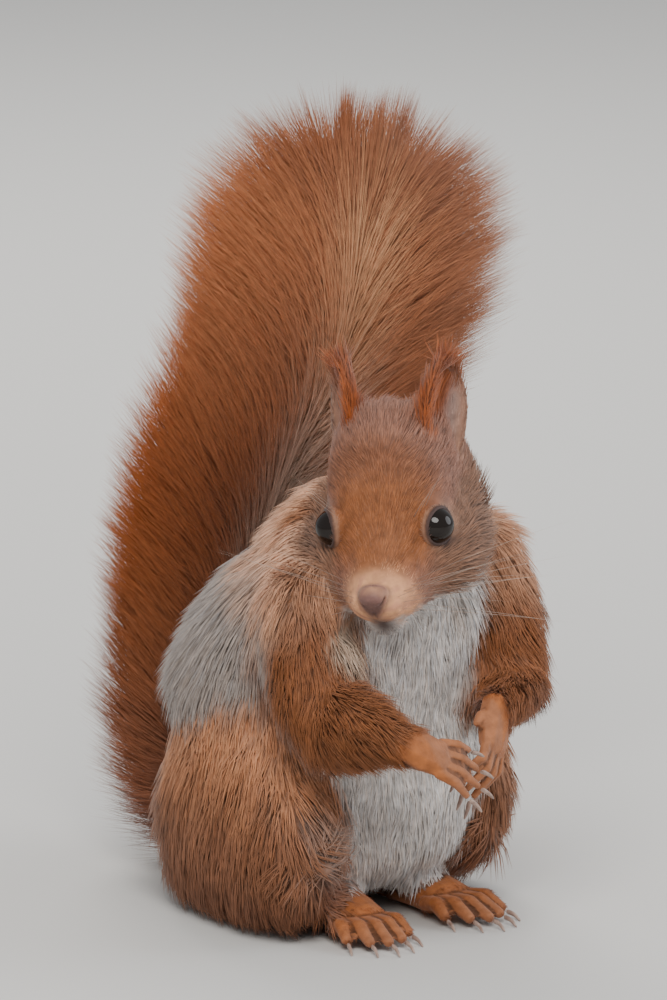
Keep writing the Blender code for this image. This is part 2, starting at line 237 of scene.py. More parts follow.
def grown_copy(node, amount):
    """A CAD node's points and triangles, moved outward by an amount."""
    mesh = bmesh.new()
    mesh.from_mesh(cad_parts[node].data)
    bmesh.ops.remove_doubles(mesh, verts=mesh.verts, dist=1e-6)
    bmesh.ops.triangulate(mesh, faces=mesh.faces)
    mesh.normal_update()
    points = np.array([vert.co for vert in mesh.verts]) / MM
    ways = np.array([vert.normal for vert in mesh.verts])
    faces = np.array([[vert.index for vert in face.verts] for face in mesh.faces])
    mesh.free()
    return points + ways * amount, faces


def joined(parts):
    """Several (points, faces) as one, with the part number of each face."""
    starts = np.cumsum([0] + [len(points) for points, _ in parts])
    faces = [rows + start for (_, rows), start in zip(parts, starts)]
    owner = np.repeat(np.arange(len(parts)), [len(rows) for rows in faces])
    return np.concatenate([points for points, _ in parts]), np.concatenate(faces), owner


def tube(line, radii, sides):
    """A closed tube through points, with its own radius at each."""
    ahead = unit(np.gradient(line, axis=0))
    across = unit(np.cross(ahead, (0.31, 0.17, 0.93)))
    rise = np.cross(ahead, across)
    turn = (np.arange(sides) * 2 * math.pi / sides)[None, :, None]
    ring = across[:, None] * np.cos(turn) + rise[:, None] * np.sin(turn)
    rows = line[:, None] + ring * radii[:, None, None]
    points = np.concatenate((rows.reshape(-1, 3), line[:1], line[-1:]))
    after = [(side + 1) % sides for side in range(sides)]
    last = (len(line) - 1) * sides
    faces = []
    for row in range(0, last, sides):
        for side in range(sides):
            a, b = row + side, row + after[side]
            faces += [(a, b, b + sides), (a, b + sides, a + sides)]
    for side in range(sides):
        faces += [(last + sides, after[side], side),
                  (last + sides + 1, last + side, last + after[side])]
    return points, np.array(faces)


# ---------------------------------------------------------------- the tail's line

# Stations up the tail: a place over the hips, then how far the hair reaches to the
# sides, to the front and to the back.
TAIL = np.array((
    (0, 46, 16, 14, 10, 11),
    (-1, 62, 16, 27, 13, 19),
    (1, 76, 30, 28.5, 16, 20),
    (5, 79, 53, 29, 17, 18),
    (8, 74, 77, 33.5, 18, 19),
    (11, 64, 100, 36.5, 19, 20),
    (17, 54, 124, 37, 20, 21),
    (20, 48, 146, 40.5, 19, 20),
    (22, 46, 161, 39.5, 17, 18),
), float)
TAIL[:, :3] += HIPS
TAIL_DOME = 27.0
TAIL_SIDE = unit(np.array((1.0, -math.tan(math.radians(16.0)), 0.0)))


def tail_table():
    """The tail's stations, evenly spaced: each one's place along it, and its row."""
    fine = catmull(TAIL, np.linspace(0.0, len(TAIL) - 1.0, 400))
    step = np.linalg.norm(np.diff(fine[:, :3], axis=0), axis=1)
    along = np.concatenate(((0.0,), np.cumsum(step)))
    even = np.linspace(0.0, along[-1], 200)
    return even, read_rows(even, along, fine)


TAIL_PLACES, TAIL_ROWS = tail_table()
TAIL_LENGTH = TAIL_PLACES[-1]
TAIL_AHEAD = unit(np.gradient(TAIL_ROWS[:, :3], axis=0))


def tail_at(place):
    """Centre, forward, side and front axes, and reach, at places along the tail."""
    inside = np.clip(place, 0.0, TAIL_LENGTH)
    values = read_rows(inside, TAIL_PLACES, TAIL_ROWS)
    ahead = unit(read_rows(inside, TAIL_PLACES, TAIL_AHEAD))
    across = unit(TAIL_SIDE - ahead * (ahead @ TAIL_SIDE)[:, None])
    beyond = np.clip((place - TAIL_LENGTH) / TAIL_DOME, 0.0, 1.0)
    centre = values[:, :3] + ahead * (beyond * TAIL_DOME)[:, None]
    reach = values[:, 3:] * np.sqrt(np.maximum(1.0 - beyond ** 2, 0.0))[:, None]
    return centre, ahead, across, np.cross(across, ahead), reach


def tail_core_radius(place):
    """Half the thickness of the tail itself, without its hair."""
    return np.interp(place, (0.0, 25.0, 90.0, TAIL_LENGTH), (8.0, 5.6, 4.0, 2.0))


def tail_core(extra):
    """The tail itself under its hair, from inside the rump to near its tip."""
    places = np.linspace(0.0, TAIL_LENGTH - 8.0, 60)
    centre = tail_at(places)[0]
    root = centre[0] + np.array(((2, -22, 8), (1, -11, 3)))
    radii = np.concatenate(((11.0, 10.0), tail_core_radius(places) + extra))
    return tube(np.concatenate((root, centre)), radii, 16)


# ---------------------------------------------------------------- the coat's kinds

ORANGE = (0.31, 0.106, 0.035)
RED = (0.245, 0.082, 0.025)
TICKED = (0.30, 0.136, 0.088)
GREY = (0.375, 0.318, 0.285)
WHITE = (0.635, 0.59, 0.56)
BACK = (0.76, 0.41, 0.245)
PAW = (0.46, 0.148, 0.042)
TAIL_RED = (0.48, 0.127, 0.022)
SKIN_PINK = (0.150, 0.073, 0.060)

# For each kind of flesh: length of hair, lift in degrees, width of a tuft, depth of
# the coat, tufts for each mm2, and colour.
COAT = {
    "head": (4.2, 20.0, 0.46, 1.9, 1.75, TICKED),
    "nose": (0.8, 10.0, 0.26, 0.25, 0.0, SKIN_PINK),
    "neck": (8.5, 27.0, 0.42, 4.0, 0.95, BACK),
    "torso": (10.0, 22.0, 0.42, 5.0, 0.66, GREY),
    "tail_root": (11.0, 26.0, 0.5, 4.0, 0.8, RED),
    "thigh": (10.5, 22.0, 0.48, 4.6, 0.70, RED),
    "shank": (5.0, 22.0, 0.38, 1.8, 1.2, RED),
    "foot": (2.4, 18.0, 0.30, 0.45, 2.0, PAW),
    "upper_arm": (8.6, 27.0, 0.38, 2.8, 1.15, RED),
    "forearm": (7.4, 28.0, 0.34, 1.9, 1.5, RED),
    "hand": (1.8, 18.0, 0.25, 0.3, 2.4, PAW),
    "tail_core": (9.0, 26.0, 0.5, 0.0, 0.8, RED),
    "ear": (2.8, 16.0, 0.30, 0.0, 2.4, RED),
}
DEPTH = 3

# Which way the hair lies over each part of the body.
LIES = {
    "neck": (0.0, 0.25, -1.0),
    "torso": (0.0, 0.12, -1.0),
    "tail_root": (0.0, 0.8, 0.5),
    "tail_core": (0.0, 0.4, 0.9),
    "thigh": (0.0, -0.25, -1.0),
    "shank_right": (16.0, 33.0, -10.0),
    "shank_left": (-12.0, 25.0, -10.0),
    "foot_right": (-0.14, -1.0, 0.0),
    "foot_left": (0.09, -1.0, 0.0),
    "upper_arm_right": (-7.0, -15.0, -30.0),
    "upper_arm_left": (6.0, -14.0, -27.0),
    "forearm_right": (8.0, -16.0, -13.0),
    "forearm_left": (-12.0, -13.0, -11.0),
    "hand_right": (24.0, -1.5, -8.5),
    "hand_left": (-4.0, -4.0, -10.0),
}
LIMBS = ("thigh", "shank", "foot", "upper_arm", "forearm", "hand")
SKIN_NODES = ["head", "nose", "neck", "torso", "tail_root"]
SKIN_NODES += [f"{limb}_{side}" for side, _ in SIDES for limb in LIMBS]
OTHER_NODES = ["ear_right", "ear_left", "tail_lower", "tail_middle", "tail_plume"]
PLACES = SKIN_NODES + ["tail_core", "ear_right", "ear_left"]
KINDS = [name.removesuffix("_right").removesuffix("_left") for name in PLACES]
BARE = ("foot", "hand")


def numbers_of(kinds):
    """The numbers in PLACES of some kinds of flesh."""
    return [number for number, kind in enumerate(KINDS) if kind in kinds]


def lie_of(number):
    """The lie of the hair over a part; the head's runs back from the nose."""
    if KINDS[number] in ("head", "nose"):
        return unit(HEAD_AXES @ (0.0, 1.0, 0.18))
    if KINDS[number] == "ear":
        return HEAD_AXES @ ear_turn(1.0 if PLACES[number] == "ear_left" else -1.0)[:, 2]
    return unit(np.array(LIES.get(PLACES[number], LIES.get(KINDS[number]))))


# ---------------------------------------------------------------- the ears

EAR_HEIGHT = 20.5
EAR_REACH = 28.5
EAR_HALF = 7.5


def ear_turn(way):
    """Columns are one ear's own axes in the head's."""
    lean_out = Matrix.Rotation(math.radians(4.0 * way + 5.0), 3, "Y")
    lean_back = Matrix.Rotation(math.radians(-20.0), 3, "X")
    face_out = Matrix.Rotation(math.radians(62.0 * way), 3, "Z")
    return np.array(lean_out @ lean_back @ face_out)


def ear_cup(up, across):
    """How far back the middle of an ear lies behind its edges."""
    return 4.4 * (1.0 - 0.55 * up) * (1.0 - across ** 2)


def ear_shell(way):
    """A thin cupped ear, open to the front and side, its lower end in the head."""
    rows, columns = 26, 18
    up = np.linspace(-0.12, 1.0, rows)[:, None]
    across = np.linspace(-1.0, 1.0, columns)[None, :]
    share = up * EAR_HEIGHT / EAR_REACH
    half = EAR_HALF * (0.86 + 1.3 * share - 2.0 * share ** 2)
    half = half * np.sqrt(np.clip(1.0 - np.clip(up, 0, 1) ** 5, 0.02, 1.0))
    roll = 0.9 * np.abs(across) ** 6 * (1.0 - up)
    thick = (1.5 - 0.6 * up) * np.sqrt(np.clip(1.0 - across ** 4, 0.05, 1.0))
    thick = thick * np.clip(1.25 - up ** 4, 0.3, 1.0)
    back = ear_cup(up, across) - roll + 1.0
    sheets = [np.stack(np.broadcast_arrays(across * half, back + side * thick,
                                           up * EAR_HEIGHT), 2).reshape(-1, 3)
              for side in (-0.5, 0.5)]
    grid = np.arange(rows * columns).reshape(rows, columns)
    count = grid.size
    faces = []
    for a, b, c, d in zip(grid[:-1, :-1].flat, grid[:-1, 1:].flat,
                          grid[1:, 1:].flat, grid[1:, :-1].flat):
        faces += [(a, b, c), (a, c, d)]
        faces += [(a + count, c + count, b + count), (a + count, d + count, c + count)]
    border = [*grid[:, 0], *grid[-1, 1:], *grid[-2::-1, -1], *grid[0, -2:0:-1]]
    for a, b in zip(border, border[1:] + border[:1]):
        faces += [(a, b, b + count), (a, b + count, a + count)]
    place = np.concatenate(sheets) @ ear_turn(way).T + EAR_ROOT * (way, 1.0, 1.0)
    return from_head(place), np.array(faces)


# ---------------------------------------------------------------- the face's forms

MOUTH = ((-8.0, -10.5, -16.6), (-4.8, -14.6, -15.0), (-2.0, -17.6, -13.4),
         (0.0, -18.4, -12.8), (2.0, -17.6, -13.4), (4.8, -14.6, -15.0),
         (8.0, -10.5, -16.6))
PHILTRUM = ((0.0, -22.6, -6.6), (0.0, -21.0, -9.2), (0.0, -18.8, -12.4))
LIPS = ((0.0, -18.6, -12.2), (0.6, -17.2, -15.6))
NOTCH = ((15.1, 19.5, 8.4), (16.0, 14.1, 6.6), (16.6, 10.6, 3.8))
NOTCH_RIM = ((16.0, 23.9, 3.5), (17.3, 17.5, 2.5), (17.9, 13.5, 0.2))
NOSTRIL = ((0.9, -22.4, -6.2), (2.0, -21.6, -6.3), (2.9, -20.6, -5.2))

# Rounded forms on both sides of the face, then on its middle: how far each stands
# out, its place and its reach.
SIDE_FORMS = (
    (0.9, (3.8, -17.2, -9.4), (3.6, 4.4, 3.4)),
    (1.6, (14.0, -2.0, -12.5), (9.0, 11.0, 9.0)),
    (0.6, (9.5, -3.5, 6.2), (6.0, 6.0, 3.0)),
    (-0.8, (8.6, -9.0, -2.5), (4.5, 6.0, 4.5)),
    (-1.7, (18.0, 14.0, -1.0), (10.0, 13.0, 13.0)),
)
MIDDLE_FORMS = (
    (1.6, (0.0, 18.0, 15.0), (18.0, 18.0, 12.0)),
    (3.0, (0.0, -14.0, -17.0), (6.5, 6.5, 4.6)),
)


def cleft(local, line, width):
    """1 along a line drawn in the head's own axes, fading to 0 a width away."""
    line = np.asarray(line, float)
    near = np.full(len(local), 1e9)
    for start, end in zip(line, line[1:]):
        run = end - start
        along = np.clip(((local - start) @ run) / (run @ run), 0.0, 1.0)
        away = np.linalg.norm(local - start - along[:, None] * run, axis=1)
        near = np.minimum(near, away)
    return smooth(width, 0.0, near)


def swell(local, centre, radius):
    """1 at a place in the head's own axes, fading to 0 a radius away."""
    return smooth(1.0, 0.0, np.linalg.norm((local - centre) / np.array(radius), axis=1))


def both_sides(local):
    """Points in the head's own axes, all brought to its left side."""
    return local * np.where(local[:, :1] < 0, (-1.0, 1.0, 1.0), (1.0, 1.0, 1.0))


def nose_share(local):
    """1 on the bare pad over the nostrils."""
    wide = np.abs(local[:, 0]) / np.interp(local[:, 2], (-10.5, -5.1), (2.3, 4.1))
    high = (local[:, 2] + 5.1) / np.where(local[:, 2] > -5.1, 3.0, 6.4)
    away = np.sqrt(wide ** 2 + high ** 2)
    return smooth(1.4, 0.55, away) * smooth(-16.2, -18.4, local[:, 1])


def gaze(way):
    """Where an eye looks, in the head's own axes."""
    return unit(np.array((way * 0.88, -0.42, 0.17)))


def eye_view(local, way):
    """Ways and distances from an eye's centre, and degrees off its gaze."""
    apart = local - (way * EYE_OUT, 0.0, 0.0)
    toward = unit(apart)
    angle = np.degrees(np.arccos(np.clip(toward @ gaze(way), -1.0, 1.0)))
    return toward, np.linalg.norm(apart, axis=1), angle


def eye_shares(local):
    """Degrees from the nearer eye's gaze, and how near that eye is."""
    (_, right, right_turn), (_, left, left_turn) = (
        eye_view(local, way) for _, way in SIDES)
    return np.where(left < right, left_turn, right_turn), np.minimum(left, right)


def sculpt_face(local, normals):
    """The face's own forms on the skin, in the head's own axes."""
    folded = both_sides(local)
    push = 0.6 * nose_share(local) - 0.55 * cleft(local, PHILTRUM, 0.7)
    push += 0.9 * cleft(folded, NOTCH_RIM, 2.6) - 1.3 * cleft(folded, NOTCH, 1.6)
    push -= 1.0 * cleft(local, MOUTH, 0.95)
    for _, way in SIDES:
        mirror = np.array((way, 1.0, 1.0))
        push -= 1.15 * cleft(local, NOSTRIL * mirror, 0.75)
        for height, place, reach in SIDE_FORMS:
            push += height * swell(local, place * mirror, reach)
    for height, place, reach in MIDDLE_FORMS:
        push += height * swell(local, place, reach)
    return local + normals * push[:, None]


def sculpt_lids(local):
    """Close the skin round each eyeball, with a raised rim for the lids."""
    inner = EYE_RADIUS - 0.6
    rim = EYE_RADIUS + 0.42
    for _, way in SIDES:
        toward, away, angle = eye_view(local, way)
        rise = np.cross(gaze(way), (0.0, -1.0, 0.0))
        rise = unit(rise if rise[2] > 0 else -rise)
        edge = 65.0 + 5.0 * np.abs(toward @ np.cross(rise, gaze(way))) ** 3
        target = inner + (rim - inner) * smooth(edge - 3.0, edge + 3.5, angle)
        goal = mix(target, np.maximum(away, rim - 0.12),
                   smooth(edge + 4.0, edge + 30.0, angle))
        place = toward * goal[:, None] + (way * EYE_OUT, 0.0, 0.0)
        local = mix(local, place, smooth(9.5, 7.5, away))
    return local


# ---------------------------------------------------------------- the skin

VOXEL = 0.85
GROW = 0.45
BARE_GROW = 0.1
BARE_DEPTH = 0.3
MUZZLE_DEPTH = 0.8
PRESS_REACH = 2.5
OUT_OF_THE_WAY = (0.0, 0.0, 500.0)
SOFTNESS = {"torso": 1.0, "thigh": 1.0, "neck": 1.0, "head": 0.35, "upper_arm": 0.5,
            "forearm": 0.3, "shank": 0.3, "tail_core": 0.2}


def growth(kind):
    """How far a node is grown before all are made one."""
    return BARE_GROW if kind in BARE else GROW


def rough_body():
    """All the flesh as one closed surface, out to the tips of the coat."""
    parts = [grown_copy(name, growth(kind)) for name, kind in zip(SKIN_NODES, KINDS)
             if name != "tail_root"]
    parts += [grown_copy(f"eye_{side}", 0.2) for side, _ in SIDES]
    points, faces, _ = joined(parts + [tail_core(GROW)])
    body = make_mesh("skin", points, faces)
    remesh = body.modifiers.new("remesh", "REMESH")
    remesh.mode = "VOXEL"
    remesh.voxel_size = VOXEL * MM
    apply_modifiers(body)
    return body


def nearest_part(points):
    """The number in PLACES of the part of the body each point belongs to."""
    parts = [grown_copy(name, 0.0) for name in SKIN_NODES]
    hidden = SKIN_NODES.index("tail_root")
    parts[hidden] = (parts[hidden][0] - OUT_OF_THE_WAY, parts[hidden][1])
    parts += [tail_core(0.0)] + [ear_shell(way) for _, way in SIDES]
    tree, owner = face_tree(parts)
    return np.array([owner[tree.find_nearest(Vector(point))[2]] for point in points])


def refine(body, wanted):
    """Split the edges of a mesh whose two ends are wanted."""
    mesh = bmesh.new()
    mesh.from_mesh(body.data)
    mesh.verts.ensure_lookup_table()
    edges = [edge for edge in mesh.edges
             if wanted[edge.verts[0].index] and wanted[edge.verts[1].index]]
    bmesh.ops.subdivide_edges(mesh, edges=edges, cuts=1, use_grid_fill=True)
    mesh.to_mesh(body.data)
    mesh.free()


def press_digits(body):
    """Bring the skin of hands and feet close in round each finger and toe."""
    points = points_of(body)
    pairs = edges_of(body)
    bare = read(body.data.attributes["bare"].data, "value", 1)[:, 0].astype(float)
    share = smooth(0.45, 0.95, relax(bare, pairs, 5, 0.6))
    names = [name for name, kind in zip(SKIN_NODES, KINDS) if kind in BARE]
    tree, _ = face_tree([grown_copy(name, 0.0) for name in names])
    for number in np.nonzero(share > 0.01)[0]:
        place, normal, _, away = tree.find_nearest(Vector(points[number]))
        if away < PRESS_REACH:
            goal = np.array(place - normal * BARE_DEPTH)
            points[number] += (goal - points[number]) * share[number]
    points = relax(points, pairs, 2, 0.35 * (share > 0.01))
    points[:, 2] = np.maximum(points[:, 2], 0.0)
    put_points(body, points)


def shrink(body):
    """Soften the rough body, and take its skin in by the depth of the coat."""
    points = points_of(body)
    pairs = edges_of(body)
    labels = nearest_part(points)
    soft = np.array([SOFTNESS.get(kind, 0.06) for kind in KINDS])[labels]
    soft = relax(soft, pairs, 8, 0.6)
    side, back, high = to_head(points).T
    muzzle = smooth(-8.0, -14.0, back) * smooth(14.0, 11.0, np.abs(side))
    soft = soft * (1.0 - 0.85 * muzzle * smooth(-30.0, -22.0, high))
    points = relax(points, pairs, 70, 0.55 * soft)
    nape = smooth(-8.0, 4.0, points[:, 1] - HIPS[1]) * smooth(76.0, 84.0, points[:, 2])
    nape = nape * np.isin(labels, numbers_of(("torso", "neck")))
    points = relax(points, pairs, 170, 0.6 * nape)
    points = relax(points, pairs, 2, 0.35)
    put_points(body, points)
    depth = np.array([COAT[kind][DEPTH] + growth(kind) for kind in KINDS])[labels]
    depth = mix(depth, MUZZLE_DEPTH + GROW, muzzle * (labels == PLACES.index("head")))
    depth = relax(depth, pairs, 12, 0.6)
    for _ in range(3):
        normals = unit(relax(normals_of(body), pairs, 5, 0.5))
        points = points - normals * (depth / 3.0)[:, None]
        points = relax(points, pairs, 3, 0.45 * np.minimum(soft * 2.0, 1.0))
        put_points(body, points)
    points[:, 2] = np.maximum(points[:, 2], 0.0)
    put_points(body, points)
    return np.isin(labels, numbers_of(BARE)).astype(np.float32)


def refine_face(body):
    """Make the mesh finer on the face, and finest round the eyes and nose."""
    for reach in (1, 2):
        local = to_head(points_of(body))
        side, back, high = local.T
        eye_near = eye_shares(local)[1]
        face = (back < 3.0) & (high > -24.0) & (np.abs(side) < 24.0)
        if reach == 2:
            nose_near = (back < -15.5) & (np.abs(side) < 6.0)
            face = face & ((eye_near < 6.8) | nose_near & (high > -15.0))
        refine(body, face | (eye_near < 8.5 - reach))


def make_skin():
    """One skin for the whole animal, under the coat."""
    body = rough_body()
    bare = shrink(body)
    body.data.attributes.new("bare", "FLOAT", "POINT")
    body.data.attributes["bare"].data.foreach_set("value", bare)
    refine(body, bare > 0.5)
    press_digits(body)
    refine_face(body)
    points = points_of(body)
    pairs = edges_of(body)
    local = to_head(points)
    near = (local[:, 1] < 26.0) & (np.abs(local[:, 0]) < 26.0)
    near &= (local[:, 2] > -27.0) & (np.linalg.norm(local, axis=1) < 34.0)
    points = relax(points, pairs, 3, 0.4 * near)
    put_points(body, points)
    normals = normals_of(body) @ HEAD_AXES
    points[near] = from_head(sculpt_face(to_head(points[near]), normals[near]))
    points = relax(points, pairs, 1, 0.25 * near)
    points[near] = from_head(sculpt_lids(to_head(points[near])))
    put_points(body, points)
    add_ears(body)
    return body


def add_ears(body):
    """Set the two ears into the skin and split every face into triangles."""
    mesh = bmesh.new()
    mesh.from_mesh(body.data)
    for side, way in SIDES:
        ear = make_mesh(f"ear_{side}_form", *ear_shell(way))
        mesh.from_mesh(ear.data)
        bpy.data.objects.remove(ear)
    bmesh.ops.triangulate(mesh, faces=mesh.faces)
    for face in mesh.faces:
        face.smooth = True
    mesh.to_mesh(body.data)
    mesh.free()


# ---------------------------------------------------------------- markings and lie

# Lines along the fingers and toes: a start over the hips, and a way or a turn.
HAND_LINES = (((-26, -46, 54), (22, -3.6, -11.3)), ((8, -33.6, 56.4), (-4, -4, -10)))
FOOT_LINES = (((-11.5, 21.0, 4.0), -8.0), ((9.8, 28.6, 4.0), 5.0))

# Ruffs of mixed hair under the cheeks: place, reach and sweep.
RUFFS = (((-10.5, -15.0, -21.0), (9.5, 8.0, 9.5), (-0.5, -0.35, -1.0)),
         ((15.0, 3.0, -25.0), (8.0, 9.0, 8.0), (0.7, -0.3, -1.0)))


def head_colour(local, angle, near, pad):
    """Orange forehead, ticked crown, pale muzzle, white chin and dark rims, with painted
    shade in the mouth's cleft, in the slit beside each ear and low on the nose pad.
    """
    side, back, high = local.T
    wide = np.abs(side)
    forehead = (smooth(9.0, -1.0, back) * smooth(15.0, 9.0, wide)
                * smooth(-14.0, -4.0, high + back * 0.3))
    fold = back + 0.35 * waves(local, 5.0, 5)
    pale = smooth(-11.0, -16.4, fold) * smooth(2.5, -2.2, high + 0.12 * fold)
    rosy = smooth(-0.2, 0.8, waves(local, 3.2, 9)) * pale
    rag = 1.6 * waves(local, 6.0, 8)
    chin = smooth(-12.6, -16.4, high + 0.28 * (wide - 6.0) * (back > -10) + rag)
    folded = both_sides(local)
    close = smooth(6.4, 5.6, near)
    rim = smooth(82.0, 76.0, angle) * close
    buff = smooth(92.0, 84.0, angle) * close * (1.0 - rim)
    # The bare nose pad, paler at its top and darker toward the mouth: painted light and
    # shade.
    nose_pad_painted_shade = mix((0.165, 0.084, 0.071), (0.080, 0.040, 0.034), smooth(-5.0, -10.5, high))
    return painted(
        TICKED,
        (ORANGE, forehead),
        ((0.25, 0.122, 0.070), smooth(9.0, 13.0, wide) * smooth(3.0, -3.0, high)),
        ((0.88, 0.43, 0.215), pale),
        ((0.60, 0.265, 0.165), 0.75 * rosy),
        (WHITE, chin),
        # Painted shadow in the cleft of the mouth, from under the nose down to the chin.
        ((0.075, 0.040, 0.034), 0.95 * cleft(local, LIPS, 4.2)),
        ((0.34, 0.15, 0.085), 0.7 * cleft(folded, NOTCH_RIM, 3.0)),
        # Painted shade in the slit between the head's fur and each ear's rim.
        ((0.085, 0.046, 0.036), 0.9 * cleft(folded, NOTCH, 1.9)),
        ((0.52, 0.32, 0.22), 0.5 * buff),
        ((0.07, 0.04, 0.035), rim * smooth(81.0, 74.0, angle)),
        (nose_pad_painted_shade, pad))


def head_plan(points, part):
    """Colour, lie and size of the hair on the head."""
    local = to_head(points)
    side, back, high = local.T
    muzzle = smooth(-7.0, -16.0, back)
    nape = smooth(12.0, 26.0, back)
    under = smooth(-11.0, -18.0, high)
    cheek = (smooth(8.5, 14.0, np.abs(side)) * smooth(-4.0, -11.0, high)
             * smooth(-11.0, 0.0, back))
    crown = smooth(4.0, 14.0, back) * smooth(6.0, 12.0, high)
    angle, near = eye_shares(local)
    pad = nose_share(local)
    length = mix(3.4 + 2.0 * nape - 1.9 * muzzle + 1.6 * crown, 8.6, cheek)
    length = mix(length, 4.4, under * (1 - 0.6 * muzzle) * (1 - cheek))
    length = mix(length, 1.5, smooth(120.0, 88.0, angle) * smooth(7.6, 5.6, near))
    lids = smooth(72.0, 68.0, angle) * smooth(6.4, 5.6, near)
    bare = np.maximum(smooth(0.3, 0.8, pad), lids)
    bare = np.maximum(bare, 0.7 * cleft(local, MOUTH, 0.9))
    outward = np.sign(side)[:, None] * (1.0, 0.0, 0.0)
    lie = painted((0.0, 1.0, 0.12), (outward * 0.2 + (0.0, 0.35, -0.9), 0.8 * under),
                  (outward * 0.8 + (0.0, 0.5, -0.33), cheek))
    return {"length": length, "width": 0.21 + 0.020 * length,
            "lift": mix(mix(17.0, 29.0, crown), 36.0, cheek) - 4.0 * muzzle,
            "density": (1.0 - bare) * (3.1 - 0.26 * length),
            "colour": head_colour(local, angle, near, pad),
            "lie": unit(lie) @ HEAD_AXES.T}


def haunch_top(back):
    """How high the red of the haunch reaches, from its front to the rump."""
    return np.interp(back, (-10.0, 6.0, 19.0, 36.0, 50.0), (52.0, 58.0, 55.0, 46.0, 36.0))


def haunch_colour_painted_shade(high):
    """Red-brown, with painted light making it paler toward the top and painted shade
    making it darker toward the floor.
    """
    colour = mix((0.27, 0.108, 0.049), (0.56, 0.235, 0.105), smooth(28.0, 50.0, high))
    # Painted shade low on the haunch, toward the floor.
    return mix(colour, (0.17, 0.064, 0.030), 0.7 * smooth(30.0, 6.0, high))


def torso_plan(points, part):
    """Grey flanks, a brown upper back, red shoulders and a soft white front."""
    raw = points - HIPS
    side, front, high = raw[:, 0], raw[:, 1] - 18.0, raw[:, 2]
    turn = turned(side + 1.0, front)
    rag = 7.0 * waves(points, 9.0, 21) + 4.0 * waves(points, 4.0, 22)
    upper = smooth(78.0, 96.0, high + 0.5 * rag + 0.12 * (90.0 - turn))
    shoulder = smooth(46.0, 56.0, high + 0.3 * rag) * smooth(74.0, 56.0, turn + 0.5 * rag)
    shoulder = shoulder * smooth(88.0, 78.0, high)
    haunch = smooth(3.0, -3.0, high - haunch_top(raw[:, 1]) + 0.5 * rag)
    belly = smooth(68.0, 58.0, turn + 0.7 * rag) * smooth(52.0, 46.0, high + 0.2 * rag)
    jag = 0.22 * rag
    right_edge = np.interp(high, (52.0, 64.0, 73.0, 80.0, 90.0),
                           (-1.5, -14.5, -22.0, -14.0, -4.0))
    left_edge = np.interp(high, (50.0, 64.0, 78.0), (8.4, 10.4, 12.6))
    bib = (smooth(-1.6, 1.6, side - right_edge + jag)
           * smooth(-1.6, 1.6, left_edge - side + jag)
           * smooth(74.0, 60.0, turn) * smooth(44.0, 50.0, high))
    colour = painted(
        GREY,
        (BACK, 0.9 * upper),
        (RED, shoulder),
        # The haunch's red, with its painted light and shade.
        (haunch_colour_painted_shade(high + 0.5 * rag), haunch * smooth(50.0, 62.0, turn)),
        (WHITE, np.maximum(belly, bib)))
    return {"colour": colour,
            "length": mix(part["length"], 8.0, smooth(70.0, 40.0, turned(side, front)))}


def neck_plan(points, part):
    """Brown and flat over the nape, red at the sides, white under the throat."""
    side, back, high = to_head(points).T
    raw = points - HIPS
    turn = turned(raw[:, 0] + 4.0, raw[:, 1] - 4.0)
    rag = 8.0 * waves(points, 7.0, 31)
    throat = (smooth(15.0, 10.5, np.abs(side) + 0.2 * rag) * smooth(-11.0, -16.0, high)
              * smooth(12.0, 4.0, back))
    nape = smooth(95.0, 135.0, turn + rag)
    return {"colour": painted(RED, (BACK, nape), (WHITE, throat)),
            "lift": mix(27.0, 19.0, smooth(-12.0, 2.0, raw[:, 1]))}


def upper_arm_plan(points, part):
    """Red in front, brown and grey behind and over the shoulder."""
    raw = points - HIPS
    rag = 5.0 * waves(points, 8.0, 51)
    rear = smooth(-15.0, -1.0, raw[:, 1] + 0.6 * rag)
    over = smooth(72.0, 88.0, raw[:, 2] + 0.5 * rag)
    behind = mix(GREY, BACK, smooth(68.0, 84.0, raw[:, 2] + rag))
    return {"colour": mix(RED, behind, np.maximum(0.92 * rear, 0.42 * over))}


def thigh_plan(points, part):
    """Red-brown haunches with their painted light and shade, greyer above and white
    inside.
    """
    raw = points - HIPS
    rag = 5.0 * waves(points, 9.0, 41)
    wide = np.abs(raw[:, 0]) + 0.5 * rag
    above = smooth(-2.0, 5.0, raw[:, 2] + rag - haunch_top(raw[:, 1]))
    knee = (smooth(35.0, 29.0, wide) * smooth(-8.0, -16.0, raw[:, 1])
            * smooth(14.0, 24.0, raw[:, 2]))
    inner = smooth(22.0, 12.0, wide) * smooth(20.0, 0.0, raw[:, 1])
    # The haunch's red, with its painted light and shade.
    return {"colour": painted(haunch_colour_painted_shade(raw[:, 2] + rag), (GREY, 0.8 * above),
                              (np.array(GREY) * 0.8, 0.6 * knee),
                              (np.array(WHITE) * 0.9, inner))}


def shank_plan(points, part):
    """Long hair like the haunch's at the knee, short above the foot."""
    high = smooth(5.0, 13.0, (points - HIPS)[:, 2])
    return {"length": mix(3.6, 10.0, high), "width": mix(0.32, 0.46, high),
            "lift": mix(19.0, 24.0, high), "density": mix(1.5, 0.8, high),
            "colour": mix(PAW, thigh_plan(points, part)["colour"], high)}


